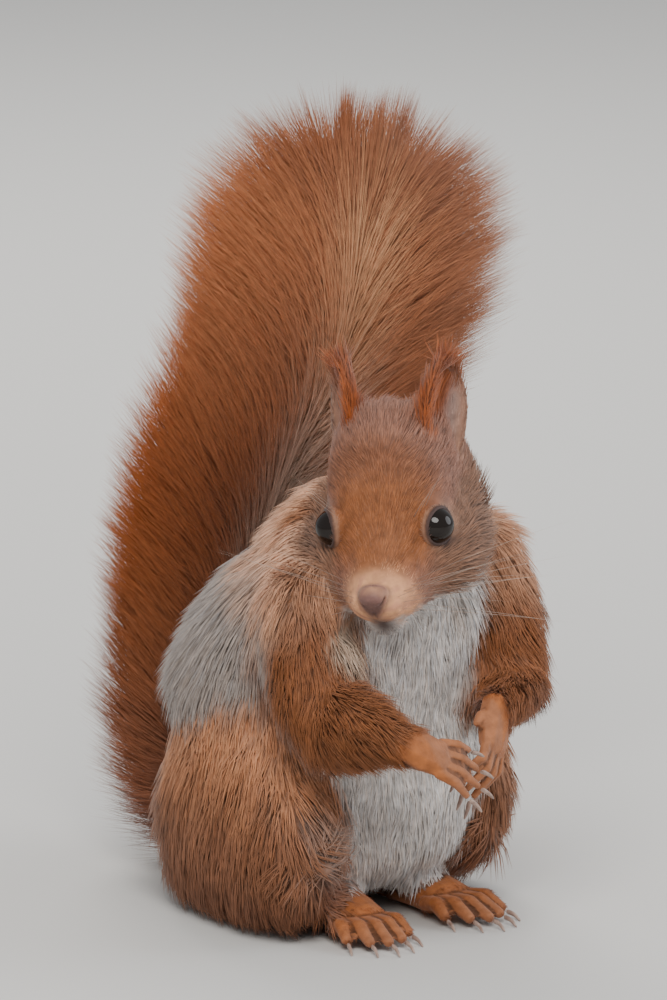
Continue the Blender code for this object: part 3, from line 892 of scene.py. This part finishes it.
def paw_plan(points, part):
    """Hair thins out along the fingers and toes, where the skin shows."""
    raw = points - HIPS
    reach = np.zeros(len(points))
    for start, way in HAND_LINES:
        apart = raw - start
        near = np.linalg.norm(apart, axis=1) < 33.0
        reach = np.maximum(reach, near * smooth(9.0, 19.0, apart @ unit(np.array(way))))
    for start, turn in FOOT_LINES:
        apart = raw - start
        turn = math.radians(turn)
        near = (np.linalg.norm(apart, axis=1) < 58.0) & (raw[:, 2] < 14.0)
        near &= np.abs(apart @ (math.cos(turn), math.sin(turn), 0.0)) < 14.0
        along = apart @ (math.sin(turn), -math.cos(turn), 0.0)
        reach = np.maximum(reach, near * smooth(37.0, 50.0, along))
    return {"length": part["length"] * (1.0 - 0.45 * reach),
            "width": part["width"] * (1.0 - 0.2 * reach),
            "density": part["density"] * (1.0 - 0.25 * reach),
            "colour": mix(part["colour"], (0.42, 0.175, 0.088), 0.6 * reach)}


def ear_plan(points, part, way):
    """Short hair over the back, a red fringe in front, and a soft tuft on top."""
    own = (to_head(points) - EAR_ROOT * (way, 1.0, 1.0)) @ ear_turn(way)
    up = own[:, 2] / EAR_HEIGHT
    half = EAR_HALF * np.clip(0.86 + 0.94 * up - 1.03 * up ** 2, 0.2, 1.1)
    across = np.clip(own[:, 0] / half, -1.0, 1.0) * way
    inside = smooth(0.15, -0.15, own[:, 1] - ear_cup(up, across) - 1.0)
    edge = smooth(0.62, 0.92, np.abs(across))
    fringe = smooth(0.7, 0.1, across)
    top = smooth(0.55, 0.98, up)
    inner = inside * (1.0 - np.maximum(edge, fringe)) * smooth(0.85, 0.6, up)
    return {"length": mix(mix(2.8, 7.5, fringe), 9.0, top) - 0.9 * inner,
            "density": mix(mix(2.6, 1.3, inner), 4.2, np.maximum(top, fringe)),
            "width": mix(0.28, 0.36, top),
            "lift": mix(mix(15.0, 26.0, edge), 10.0, top),
            "colour": painted(
                (0.33, 0.098, 0.030),
                ((0.38, 0.088, 0.014), fringe),
                ((0.40, 0.315, 0.29), (0.85 if way > 0 else 0.55) * inner),
                ((0.52, 0.33, 0.24), 0.55 * edge * (across > 0) * (1.0 - top)),
                ((0.42, 0.145, 0.065), 0.6 * top))}


def add_ruff(points, labels, plan):
    """Long pale and dark streaks of hair under both cheeks, over neck and shoulder."""
    local = to_head(points)
    for place, reach, sweep in RUFFS:
        share = swell(local, place, reach) * (labels > PLACES.index("nose"))
        share = smooth(0.02, 0.8, share)
        streak = mix((0.60, 0.46, 0.34), (0.16, 0.105, 0.075),
                     smooth(-0.1, 0.4, waves(points, 2.2, 61)))
        plan["colour"] = mix(plan["colour"], streak, 0.8 * share)
        plan["length"] = mix(plan["length"], 10.0, share)
        plan["lift"] = mix(plan["lift"], 33.0, share)
        way = unit(np.array(sweep)) @ HEAD_AXES.T
        plan["lie"] = unit(mix(plan["lie"], way, 0.9 * share))


def coat_plan(points, labels):
    """Hair length, lift, width, density, lie and colour at every point of the skin."""
    table = np.array([COAT[kind][:5] for kind in KINDS])[labels]
    plan = {key: table[:, column].copy() for key, column in
            (("length", 0), ("lift", 1), ("width", 2), ("density", 4))}
    plan["colour"] = np.array([COAT[kind][5] for kind in KINDS])[labels]
    plan["lie"] = np.array([lie_of(number) for number in range(len(PLACES))])[labels]

    def over(numbers, change, *more):
        rows = np.isin(labels, numbers)
        part = {key: value[rows] for key, value in plan.items()}
        for key, value in change(points[rows], part, *more).items():
            plan[key][rows] = value

    for kinds, change in ((("head", "nose"), head_plan), (("torso",), torso_plan),
                          (("neck",), neck_plan), (("thigh",), thigh_plan),
                          (("upper_arm",), upper_arm_plan), (("shank",), shank_plan),
                          (BARE, paw_plan)):
        over(numbers_of(kinds), change)
    pure = smooth(0.42, 0.62, plan["colour"][:, 2]) * (labels > PLACES.index("nose"))
    plan["width"] *= 1.0 + 0.45 * pure
    plan["lift"] *= 1.0 - 0.25 * pure
    plan["density"] *= 1.0 + 0.25 * pure
    add_ruff(points, labels, plan)
    for side, way in SIDES:
        over([PLACES.index(f"ear_{side}")], ear_plan, way)
    return plan


def furrow_shade(thing, points, pairs, labels):
    """Where painted shade goes: 1 in the furrows between fingers and toes, 0 elsewhere."""
    inward = ((relax(points, pairs, 8, 0.6) - points) * normals_of(thing)).sum(1)
    return smooth(0.02, 0.22, inward) * np.isin(labels, numbers_of(BARE))


# ---------------------------------------------------------------- tufts

PATCH = 0.003
ROOT_DEPTH = 0.35
ABOVE_FLOOR = 0.25


def strands(name, paths, side, rise, width, root_tint, tip_tint, patch):
    """A mesh of thin closed tufts along their paths, each three-sided and pointed.

    paths is tufts x rings x 3, its last ring the point. patch is each root's
    place on the unwrap of the skin.
    """
    count, rings = paths.shape[0], paths.shape[1] - 1
    steps = np.arange(rings) / rings
    taper = (1.0 - steps ** 1.6) * np.interp(steps, (0.0, 0.3), (0.75, 1.0))
    half = 0.5 * width[:, None] * taper[None, :]
    sides = side[:, None] * half[..., None]
    rises = rise[:, None] * (0.42 * half)[..., None]
    body = paths[:, :rings]
    rows = np.stack((body - sides - rises, body + sides - rises, body + 1.6 * rises), 2)
    per = rings * 3 + 1
    points = np.concatenate((rows.reshape(count, rings * 3, 3), paths[:, -1:]), 1)
    plan = [(0, 1, 2)]
    for low in range(0, per - 1, 3):
        for a, b in ((1, 0), (2, 1), (0, 2)):
            if low + 4 == per:
                plan.append((low + a, low + b, per - 1))
            else:
                plan.append((low + a, low + b, low + b + 3))
                plan.append((low + a, low + b + 3, low + a + 3))
    faces = (np.array(plan)[None] + (np.arange(count) * per)[:, None, None]).reshape(-1, 3)
    thing = make_mesh(name, points.reshape(-1, 3), faces)
    lean = 0.7 * side
    facing = np.stack((rise - lean, rise + lean, rise), 1)
    facing = unit(np.concatenate((np.tile(facing, (1, rings, 1)), rise[:, None]), 1))
    corners = facing[:, np.array(plan).ravel()]
    under = np.repeat([{corner % 3 for corner in face[:2]} == {0, 1} for face in plan], 3)
    corners[:, under] = -rise[:, None]
    thing.data.normals_split_custom_set(corners.reshape(-1, 3))
    along = np.append(np.repeat(steps, 3), 1.0)
    ripe = smooth(0.0, 0.75, along)[None, :, None]
    tint = root_tint[:, None] * (1.0 - ripe) + tip_tint[:, None] * ripe
    put_tint(thing, tint.reshape(-1, 3))
    across = np.append(np.tile((-0.5, 0.5, 0.0), rings), 0.0)
    spot = patch[:, None] + PATCH * np.stack((across, along - 0.5), 1)[None]
    spot = np.clip(spot.reshape(-1, 2), 0.0, 1.0).astype(np.float32)
    chart = thing.data.uv_layers.new(name="OFBake")
    chart.data.foreach_set("uv", spot[faces.ravel()].ravel())
    return thing


def in_pieces(name, pieces, rng, *rows):
    """Tufts dealt out at random to meshes of equal size."""
    order = rng.permutation(len(rows[0]))
    made = []
    for number in range(pieces):
        take = np.sort(order[number::pieces])
        label = name if pieces == 1 else f"{name}_{number + 1}"
        made.append(strands(label, *(row[take] for row in rows)))
    return made


def scatter(points, faces, weight, count, rng):
    """Evenly spread roots on triangles: face numbers and shares of their corners."""
    corners = points[faces]
    area = np.linalg.norm(np.cross(corners[:, 1] - corners[:, 0],
                                   corners[:, 2] - corners[:, 0]), axis=1) / 2
    cells = ((corners.mean(1) - points.min(0)) / 1.5).astype(np.int64)
    code = np.zeros(len(cells), np.int64)
    for bit in range(8):
        for axis in range(3):
            code |= ((cells[:, axis] >> bit) & 1) << (3 * bit + axis)
    order = np.argsort(code, kind="stable")
    total = np.cumsum((area * weight)[order])
    marks = (np.arange(count) + rng.random(count)) * total[-1] / count
    chosen = order[np.minimum(np.searchsorted(total, marks), len(order) - 1)]
    first, second = rng.random(count), rng.random(count)
    over = first + second > 1
    first[over], second[over] = 1 - first[over], 1 - second[over]
    return chosen, np.stack((1 - first - second, first, second), 1)


def at_roots(values, faces, chosen, shares):
    """Values of the skin's points, read at the roots."""
    rows = values[faces[chosen]]
    return (rows * (shares if rows.ndim == 2 else shares[..., None])).sum(1)


def clumped(roots, paths, size, pull, rng):
    """Draw the tips of neighbouring tufts toward each other."""
    count = len(roots)
    chosen = rng.choice(count, max(int(count / size), 1), replace=False)
    tree = point_tree(roots, chosen)
    lead = np.array([tree.find(root)[1] for root in roots])
    share = pull * np.linspace(0.0, 1.0, paths.shape[1]) ** 1.5
    return paths + (paths[lead] - paths) * share[:, None]


def lay_tufts(roots, normals, plan, rings, size, pull, rng):
    """Paths and sides of tufts that leave the skin and lie along the body."""
    count = len(roots)
    lie = plan["lie"] - normals * (plan["lie"] * normals).sum(1)[:, None]
    lie = unit(lie + 1e-6)
    stray = 0.16 * rng.normal(size=count) + 0.22 * waves(roots, 13.0, 71)
    lie = unit(lie + unit(np.cross(lie, normals)) * stray[:, None])
    length = plan["length"] * rng.uniform(0.75, 1.2, count)
    lift = np.radians(plan["lift"] * rng.uniform(0.6, 1.5, count)
                      * (1.0 + 0.35 * waves(roots, 9.0, 72)))
    paths = np.empty((count, rings + 1, 3))
    paths[:, 0] = roots - normals * ROOT_DEPTH
    for ring in range(1, rings + 1):
        turn = lift * (1.55 - 1.15 * ring / rings)
        way = lie * np.cos(turn)[:, None] + normals * np.sin(turn)[:, None]
        paths[:, ring] = paths[:, ring - 1] + way * (length / rings)[:, None]
    paths = clumped(roots, paths, size, pull, rng)
    paths[:, :, 2] = np.maximum(paths[:, :, 2], ABOVE_FLOOR)
    return paths, unit(np.cross(lie, normals))


def unwrap(points, labels, picked):
    """Places on an unwrap of the skin: a rolled-out strip for each part of the body."""
    spots = np.full((len(points), 2), 0.5)
    across = math.ceil(math.sqrt(len(picked)))
    down = math.ceil(len(picked) / across)
    for order, number in enumerate(picked):
        rows = labels == number
        if not rows.any():
            continue
        axis = unit(lie_of(number))
        away = points[rows] - points[rows].mean(0)
        along = away @ axis
        first = unit(np.cross(axis, (0.36, 0.48, 0.8)))
        turn = np.arctan2(away @ first, away @ np.cross(axis, first)) / (2 * math.pi) + 0.5
        high = (along - along.min()) / (along.max() - along.min() + 1e-6)
        spots[rows, 0] = (order % across + 0.03 + 0.94 * turn) / across
        spots[rows, 1] = (order // across + 0.03 + 0.94 * high) / down
    return spots


def tinted(colour, rng, spread):
    """Root and tip colours of tufts: roots greyer like underfur and darker as painted
    shade deep in the coat, and each a little its own.
    """
    count = len(colour)
    shade = rng.normal(1.0, spread, (count, 1))
    warm = rng.normal(0.0, 0.035, (count, 1)) * (1.0, 0.0, -1.0)
    tip = np.clip(colour * (shade + warm) * 1.06, 0.0, 0.95)
    grey = colour.mean(1, keepdims=True)
    light = smooth(0.35, 0.65, grey)
    # Roots: greyer like underfur, and darkened as painted shade in the depth of the coat.
    root = np.clip((0.7 * colour + 0.3 * grey) * (0.74 + 0.22 * light), 0.0, 0.9)
    return root, tip


# For each coat piece: what it covers, rings in a tuft, tufts in a clump, how far a
# clump draws together, how many tufts, and how much their shades differ.
GROUPS = {
    "fur_head": (("head", "nose"), 2, 8, 0.16, 19000, 0.17),
    "fur_ear": (("ear",), 2, 6, 0.22, 4000, 0.10),
    "fur_body": (("torso", "neck", "tail_root", "tail_core"), 2, 12, 0.22, 38000, 0.10),
    "fur_limb": (("thigh", "shank", "upper_arm", "forearm"), 2, 12, 0.34, 30000, 0.10),
    "fur_paw": (("hand", "foot"), 1, 6, 0.12, 18000, 0.10),
}
PIECE_FACES = 195000
BODY_HAIR_ON_TAIL = 26.0


def tail_near(points):
    """How far along the tail's bone each point is."""
    places = np.linspace(0.0, TAIL_LENGTH, 160)
    tree = point_tree(tail_at(places)[0], range(len(places)))
    return np.array([places[tree.find(point)[1]] for point in points])


def dress(skin, plan, labels):
    """Every coat piece over the skin."""
    points = points_of(skin)
    faces = read(skin.data.polygons, "vertices", 3, np.int32)
    crisp = np.isin(labels, numbers_of(("ear", *BARE)))
    soft = unit(relax(normals_of(skin), edges_of(skin), 8, 0.6))
    normals = np.where(crisp[:, None], normals_of(skin), soft)
    rng = np.random.default_rng(11)
    density = plan["density"] * (points[:, 2] >= 0.3)
    on_core = np.nonzero(labels == PLACES.index("tail_core"))[0]
    density[on_core[tail_near(points[on_core]) > BODY_HAIR_ON_TAIL]] = 0.0
    made = []
    for name, (members, rings, size, pull, count, spread) in GROUPS.items():
        picked = numbers_of(members)
        mine = np.isin(labels[faces[:, 0]], picked)
        chosen, shares = scatter(points, faces, density[faces].mean(1) * mine, count, rng)
        roots = at_roots(points, faces, chosen, shares)
        rise = unit(at_roots(normals, faces, chosen, shares))
        own = {key: at_roots(value, faces, chosen, shares) for key, value in plan.items()}
        paths, side = lay_tufts(roots, rise, own, rings, size, pull, rng)
        tints = tinted(own["colour"], rng, spread)
        spots = unwrap(roots, labels[faces[chosen, 0]], picked)
        width = own["width"] * rng.uniform(0.75, 1.25, count)
        pieces = math.ceil(count * (6 * rings - 2) / PIECE_FACES)
        made += in_pieces(name, pieces, rng, paths, side, rise, width, *tints, spots)
    return made


# ---------------------------------------------------------------- the tail's hair

TAIL_TUFTS = 54000
TAIL_PIECES = 3


def tail_tints(share, turn, spread, rng):
    """Root and tip colours of the tail's hair, by its place along and round the tail, with
    painted shade darkening the tips low on the tail.
    """
    pale = smooth(0.3, 0.8, share) * smooth(0.5, 0.0, np.abs(np.cos(turn)))
    root = mix((0.56, 0.37, 0.27), (0.56, 0.33, 0.21), pale) * 0.9
    middle = smooth(0.55, 0.1, spread)
    tip = painted(
        # Darker low on the tail, up to where TAIL_RED takes over: painted shade.
        (0.25, 0.072, 0.024),
        (TAIL_RED, smooth(0.12, 0.45, share)),
        ((0.60, 0.218, 0.082), smooth(0.45, 0.7, share)),
        ((0.33, 0.108, 0.043), smooth(0.86, 1.0, share)),
        ((0.42, 0.19, 0.115), 0.55 * smooth(0.2, 0.9, np.cos(turn))),
        ((0.86, 0.66, 0.54),
         0.85 * middle * smooth(0.25, 0.45, share) * smooth(0.85, 0.6, share)),
        ((0.86, 0.47, 0.25),
         0.85 * middle * smooth(0.6, 0.85, share) * smooth(1.0, 0.88, share)))
    return root, np.clip(tip * rng.normal(1.0, 0.11, (len(share), 1)), 0.0, 0.9)


def dress_tail(rng):
    """Long hair that leaves the tail's core, parts to both sides and fans at the top."""
    count = TAIL_TUFTS
    end = TAIL_LENGTH - 9.0
    place = end * (1.0 - (1.0 - (np.arange(count) + rng.random(count)) / count) ** 1.05)
    place = np.clip(place, 1.0, end)
    turn = rng.random(count) * 2 * math.pi
    turn = turn - 0.34 * np.sin(2 * turn)
    cos, sin = np.cos(turn), np.sin(turn)
    centre, ahead, across, front, _ = tail_at(place)
    out = across * cos[:, None] + front * sin[:, None]
    roots = centre + out * tail_core_radius(place)[:, None]
    rise = np.interp(place, (0.0, 40.0, end - 40.0, end), (17.0, 22.0, 30.0, 35.0))
    rise = rise * rng.uniform(0.7, 1.25, count)
    lane = rng.random(count) ** 0.28
    top = smooth(end - 45.0, end, place)
    tip_centre, _, tip_across, tip_front, reach = tail_at(
        np.minimum(place + rise, TAIL_LENGTH + TAIL_DOME * 0.97))
    fill = np.where(rng.random(count) < 0.12, 1.09, 0.34 + 0.76 * lane)
    fill = np.where(top * rng.random(count) > 0.45, rng.random(count), fill)
    depth = np.where(sin > 0, reach[:, 1], reach[:, 2])
    wide = np.where(cos > 0, 0.94, -1.0) * np.abs(cos) ** 0.7
    tips = (tip_centre + tip_across * (wide * reach[:, 0] * fill)[:, None]
            + tip_front * (sin * depth * fill)[:, None])
    drift = 2.4 * np.stack([waves(tips, 11.0, 80 + axis) for axis in range(3)], 1)
    tips = tips + drift + np.clip(rng.normal(0.0, 1.5, (count, 3)), -2.0, 2.0)
    span = np.linalg.norm(tips - roots, axis=1)
    lean = unit(out * (0.9 - 0.5 * top)[:, None] + ahead * (0.75 + 0.5 * top)[:, None])
    bend = roots + lean * (span * 0.45)[:, None]
    steps = np.array((0.0, 0.45, 1.0))[None, :, None]
    paths = (roots[:, None] * (1 - steps) ** 2 + bend[:, None] * (2 * steps * (1 - steps))
             + tips[:, None] * steps ** 2)
    paths = clumped(roots + tips * 0.5, paths, 9, 0.17, rng)
    paths[:, :, 2] = np.maximum(paths[:, :, 2], ABOVE_FLOOR)
    way = unit(paths[:, -1] - paths[:, 0])
    outer = front * np.where(sin > 0, 1.0, -1.0)[:, None] + 0.45 * out
    side = unit(np.cross(way, outer))
    width = 0.31 * rng.uniform(0.7, 1.3, count)
    share = place / end
    tints = tail_tints(share, turn, np.abs(wide) * fill, rng)
    spots = 0.02 + 0.96 * np.stack((turn / (2 * math.pi) % 1.0, share), 1)
    return in_pieces("fur_tail", TAIL_PIECES, rng, paths, side, np.cross(side, way), width,
                     *tints, spots)


# ---------------------------------------------------------------- whiskers, eyes, claws

WHISKER_TINTS = ((0.20, 0.13, 0.10), (0.40, 0.31, 0.25))


def make_whiskers(rng):
    """Fine stiff hairs beside the nose, over the eyes and under the chin."""
    rows = []
    for _, way in SIDES:
        for line in range(3):
            for number in range(4):
                rows.append(((way * (5.2 + 0.9 * number), -17.6 + 2.0 * number,
                              -7.0 - 1.7 * line),
                             (way, 0.30 + 0.10 * number, 0.16 - 0.26 * line),
                             rng.uniform(24.0, 42.0), 0.17))
        for number in range(3):
            rows.append(((way * (9.0 + number), -5.0 + 2.0 * number, 6.4),
                         (way * 0.55, -0.1, 0.85), rng.uniform(11.0, 16.0), 0.18))
        for number in range(4):
            rows.append(((way * (2.0 + 1.6 * number), -14.5 + 1.5 * number, -15.6),
                         (way * 0.5, -0.2, -0.8), rng.uniform(7.0, 11.0), 0.16))
    count = len(rows)
    steps = np.linspace(0.0, 1.0, 10)[:, None]
    paths = np.empty((count, 10, 3))
    for number, (root, out, length, _) in enumerate(rows):
        sag = np.array((0.0, 0.10, -0.16)) * rng.uniform(0.4, 1.3)
        out = unit(unit(np.array(out)) + rng.normal(0.0, 0.07, 3))
        paths[number] = root + length * (steps * out + steps ** 2 * sag)
    paths = from_head(paths)
    way = unit(paths[:, -1] - paths[:, 0])
    side = unit(np.cross(way, (0.0, 0.0, 1.0)))
    spots = np.stack((np.linspace(0.05, 0.95, count), np.full(count, 0.5)), 1)
    width = np.array([row[3] for row in rows])
    tints = [np.tile(colour, (count, 1)) for colour in WHISKER_TINTS]
    return strands("whiskers", paths, side, np.cross(side, way), width, *tints, spots)


def make_eye(side, way):
    """A wet eyeball with a slightly raised clear front."""
    mesh = bmesh.new()
    bmesh.ops.create_uvsphere(mesh, u_segments=48, v_segments=32, radius=1.0)
    turn = Vector((0, 0, 1)).rotation_difference(Vector(HEAD_AXES @ gaze(way))).to_matrix()
    points = np.array([vert.co for vert in mesh.verts])
    faces = [[vert.index for vert in face.verts] for face in mesh.faces]
    mesh.free()
    front = smooth(0.55, 1.0, points[:, 2])
    points = points * (EYE_RADIUS * (1.0 + 0.035 * front))[:, None]
    points = points @ np.array(turn).T + from_head((way * EYE_OUT, 0.0, 0.0))
    data = bpy.data.meshes.new(f"eyeball_{side}")
    data.from_pydata((points * MM).tolist(), [], faces)
    data.polygons.foreach_set("use_smooth", np.ones(len(faces), bool))
    return added(f"eyeball_{side}", data)


def make_claws(limb, side, count):
    """The claws of one hand or foot, rounded and a little hooked."""
    nodes = [f"claw_{limb}_{side}_{number}" for number in range(1, count + 1)]
    points, faces, _ = joined([grown_copy(node, 0.06) for node in nodes])
    claws = make_mesh(f"claws_{limb}_{side}", points, faces)
    rounding = claws.modifiers.new("round", "SUBSURF")
    rounding.levels = rounding.render_levels = 2
    apply_modifiers(claws)
    claws.data.polygons.foreach_set("use_smooth", np.ones(len(claws.data.polygons), bool))
    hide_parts(*nodes)
    return claws


# ---------------------------------------------------------------- finishes

def finish_of(name, roughness, specular=0.5, sheen=0.0):
    """A new material and its surface."""
    paint = bpy.data.materials.new(name)
    paint.use_nodes = True
    surface = paint.node_tree.nodes["Principled BSDF"]
    surface.inputs["Roughness"].default_value = roughness
    surface.inputs["Specular IOR Level"].default_value = specular
    surface.inputs["Sheen Weight"].default_value = sheen
    return paint, surface


def add_node(paint, kind, **inputs):
    """A node with each input set to a value, or joined to another node's output."""
    node = paint.node_tree.nodes.new(f"ShaderNode{kind}")
    for key, value in inputs.items():
        socket = node.inputs[key.replace("_", " ")]
        if isinstance(value, bpy.types.NodeSocket):
            paint.node_tree.links.new(value, socket)
        else:
            socket.default_value = value
    return node


def grain_of(paint, scale, detail):
    """Fine noise fixed to the object."""
    place = add_node(paint, "TexCoord").outputs["Object"]
    noise = add_node(paint, "TexNoise", Scale=scale, Detail=detail, Vector=place)
    return noise.outputs["Fac"]


def blend(paint, value, surface, low, high, places=(0.0, 1.0)):
    """Colour a surface from low to high by a value."""
    ramp = add_node(paint, "ValToRGB", Fac=value)
    for element, colour, place in zip(ramp.color_ramp.elements, (low, high), places):
        element.position = place
        element.color = (*colour, 1.0)
    paint.node_tree.links.new(ramp.outputs["Color"], surface.inputs["Base Color"])


def hair_finish(name, roughness=0.62, sheen=0.15):
    """Hair: its own tint, with fine mottling."""
    paint, surface = finish_of(name, roughness, 0.25, sheen)
    tint = add_node(paint, "Attribute")
    tint.attribute_name = "tint"
    level = add_node(paint, "MapRange", Value=grain_of(paint, 420.0, 2.0), From_Min=0.3,
                     From_Max=0.7, To_Min=0.80, To_Max=1.18)
    scale = add_node(paint, "VectorMath")
    scale.operation = "SCALE"
    link = paint.node_tree.links.new
    link(tint.outputs["Color"], scale.inputs[0])
    link(level.outputs["Result"], scale.inputs["Scale"])
    link(scale.outputs["Vector"], surface.inputs["Base Color"])
    return paint


def skin_finish():
    """Skin under the coat: the coat's own markings and painted shade, finely furred and
    pored.
    """
    paint = hair_finish("skin", 0.6, 0.1)
    bump = add_node(paint, "Bump", Height=grain_of(paint, 1500.0, 4.0), Strength=0.5,
                    Distance=0.0003)
    surface = paint.node_tree.nodes["Principled BSDF"]
    paint.node_tree.links.new(bump.outputs["Normal"], surface.inputs["Normal"])
    return paint


def eye_finish():
    """Nearly black and wet, with a trace of brown."""
    paint, surface = finish_of("eye", 0.05, 0.32)
    noise = add_node(paint, "TexNoise", Scale=260.0).outputs["Fac"]
    blend(paint, noise, surface, (0.004, 0.003, 0.003), (0.014, 0.008, 0.005))
    return paint


def claw_finish():
    """Dusky horn, paler in streaks."""
    paint, surface = finish_of("claw", 0.32)
    blend(paint, grain_of(paint, 700.0, 3.0), surface, (0.24, 0.15, 0.12),
          (0.47, 0.34, 0.28), (0.3, 0.75))
    return paint


# ---------------------------------------------------------------- stage

# Size and aim of the picture, in metres and degrees.
VIEW_AIM = Vector((0.0053, 0.0199, 0.0905))
VIEW_TURN = math.radians(-33.0)
VIEW_RISE = math.radians(12.0)
VIEW_DISTANCE = 3.0
VIEW_HEIGHT = 0.2353
FILM_HEIGHT = 36.0

# For each light: place, size, power and colour.
LIGHTS = {
    "key": ((-0.55, -0.75, 0.95), 0.7, 14.5, (1.0, 0.97, 0.93)),
    "fill": ((0.9, -0.5, 0.5), 0.8, 5.6, (0.93, 0.96, 1.0)),
    "rim": ((0.35, 0.85, 0.8), 0.6, 8.0, (1.0, 0.98, 0.95)),
}
LIGHT_AIM = Vector((0.0, 0.0, 0.09))


def make_stage():
    """Floor, lights and the camera."""
    grid = bmesh.new()
    bmesh.ops.create_grid(grid, x_segments=8, y_segments=8, size=4.0)
    data = bpy.data.meshes.new("floor")
    grid.to_mesh(data)
    grid.free()
    floor = added("floor", data)
    paint, surface = finish_of("floor", 0.9)
    noise = add_node(paint, "TexNoise", Scale=3.0).outputs["Fac"]
    blend(paint, noise, surface, (0.60, 0.59, 0.57), (0.64, 0.63, 0.61))
    data.materials.append(paint)
    world = bpy.data.worlds.new("studio")
    bpy.context.scene.world = world
    world.use_nodes = True
    back = world.node_tree.nodes["Background"]
    back.inputs["Color"].default_value = (0.95, 0.97, 1.0, 1.0)
    back.inputs["Strength"].default_value = 0.55
    for name, (place, size, power, colour) in LIGHTS.items():
        light = bpy.data.lights.new(name, "AREA")
        light.shape = "DISK"
        light.size = size
        light.energy = power
        light.color = colour
        lamp = added(name, light)
        lamp.location = place
        way = LIGHT_AIM - Vector(place)
        lamp.rotation_euler = way.to_track_quat("-Z", "Y").to_euler()
    toward = Vector((math.sin(VIEW_TURN) * math.cos(VIEW_RISE),
                     -math.cos(VIEW_TURN) * math.cos(VIEW_RISE), math.sin(VIEW_RISE)))
    lens = bpy.data.cameras.new("camera")
    lens.sensor_fit = "VERTICAL"
    lens.sensor_height = FILM_HEIGHT
    lens.lens = FILM_HEIGHT * VIEW_DISTANCE / VIEW_HEIGHT
    lens.clip_start = 0.1
    lens.clip_end = 30.0
    camera = added("camera", lens)
    camera.location = VIEW_AIM + toward * VIEW_DISTANCE
    camera.rotation_euler = (-toward).to_track_quat("-Z", "Y").to_euler()
    bpy.context.scene.camera = camera


# ---------------------------------------------------------------- the whole

def paint_skin(skin, plan, labels):
    """Even out the coat's plan over the skin, and give the skin the coat's markings, with
    painted shade in the paws' furrows, on skin and coat alike, and on the skin under a
    dense coat.
    """
    points = points_of(skin)
    pairs = edges_of(skin)
    for key in ("length", "lift", "width"):
        plan[key] = relax(plan[key], pairs, 8, 0.6)
    plan["lie"] = unit(relax(plan["lie"], pairs, 14, 0.7))
    plan["colour"] = relax(plan["colour"], pairs, 3, 0.5)
    # Painted shade in the furrows between fingers and toes, for the skin and the coat
    # alike.
    plan["colour"] *= 1.0 - 0.75 * furrow_shade(skin, points, pairs, labels)[:, None]
    # Painted shade: the skin under a dense coat is darkened, less so under white hair.
    depth = 0.75 + 0.2 * smooth(0.4, 0.6, plan["colour"][:, 2])
    put_tint(skin, plan["colour"] * np.where(plan["density"] > 0.6, depth, 1.0)[:, None])
    skin.data.materials.append(skin_finish())


make_stage()
skin = make_skin()
labels = nearest_part(points_of(skin))
plan = coat_plan(points_of(skin), labels)
paint_skin(skin, plan, labels)
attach(skin, "root")
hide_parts(*SKIN_NODES, *OTHER_NODES)

SLOTS = {"fur_head": "fur_head", "fur_ear": "fur_ear", "fur_body": "fur_body",
         "fur_limb": "fur_limb", "fur_paw": "fur_foot", "fur_tail": "fur_tail",
         "whiskers": "fur_head"}
finishes = {name: hair_finish(name) for name in SLOTS}
hair = dress(skin, plan, labels) + dress_tail(np.random.default_rng(23))
for piece in [*hair, make_whiskers(np.random.default_rng(5))]:
    kind = piece.name.rstrip("_0123456789")
    piece.data.materials.append(finishes[kind])
    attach(piece, "root")
wet = eye_finish()
horn = claw_finish()
for side, way in SIDES:
    eye = make_eye(side, way)
    eye.data.materials.append(wet)
    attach(eye, "root")
    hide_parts(f"eye_{side}")
    for limb, count in (("hand", 4), ("foot", 5)):
        claws = make_claws(limb, side, count)
        claws.data.materials.append(horn)
        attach(claws, "root")
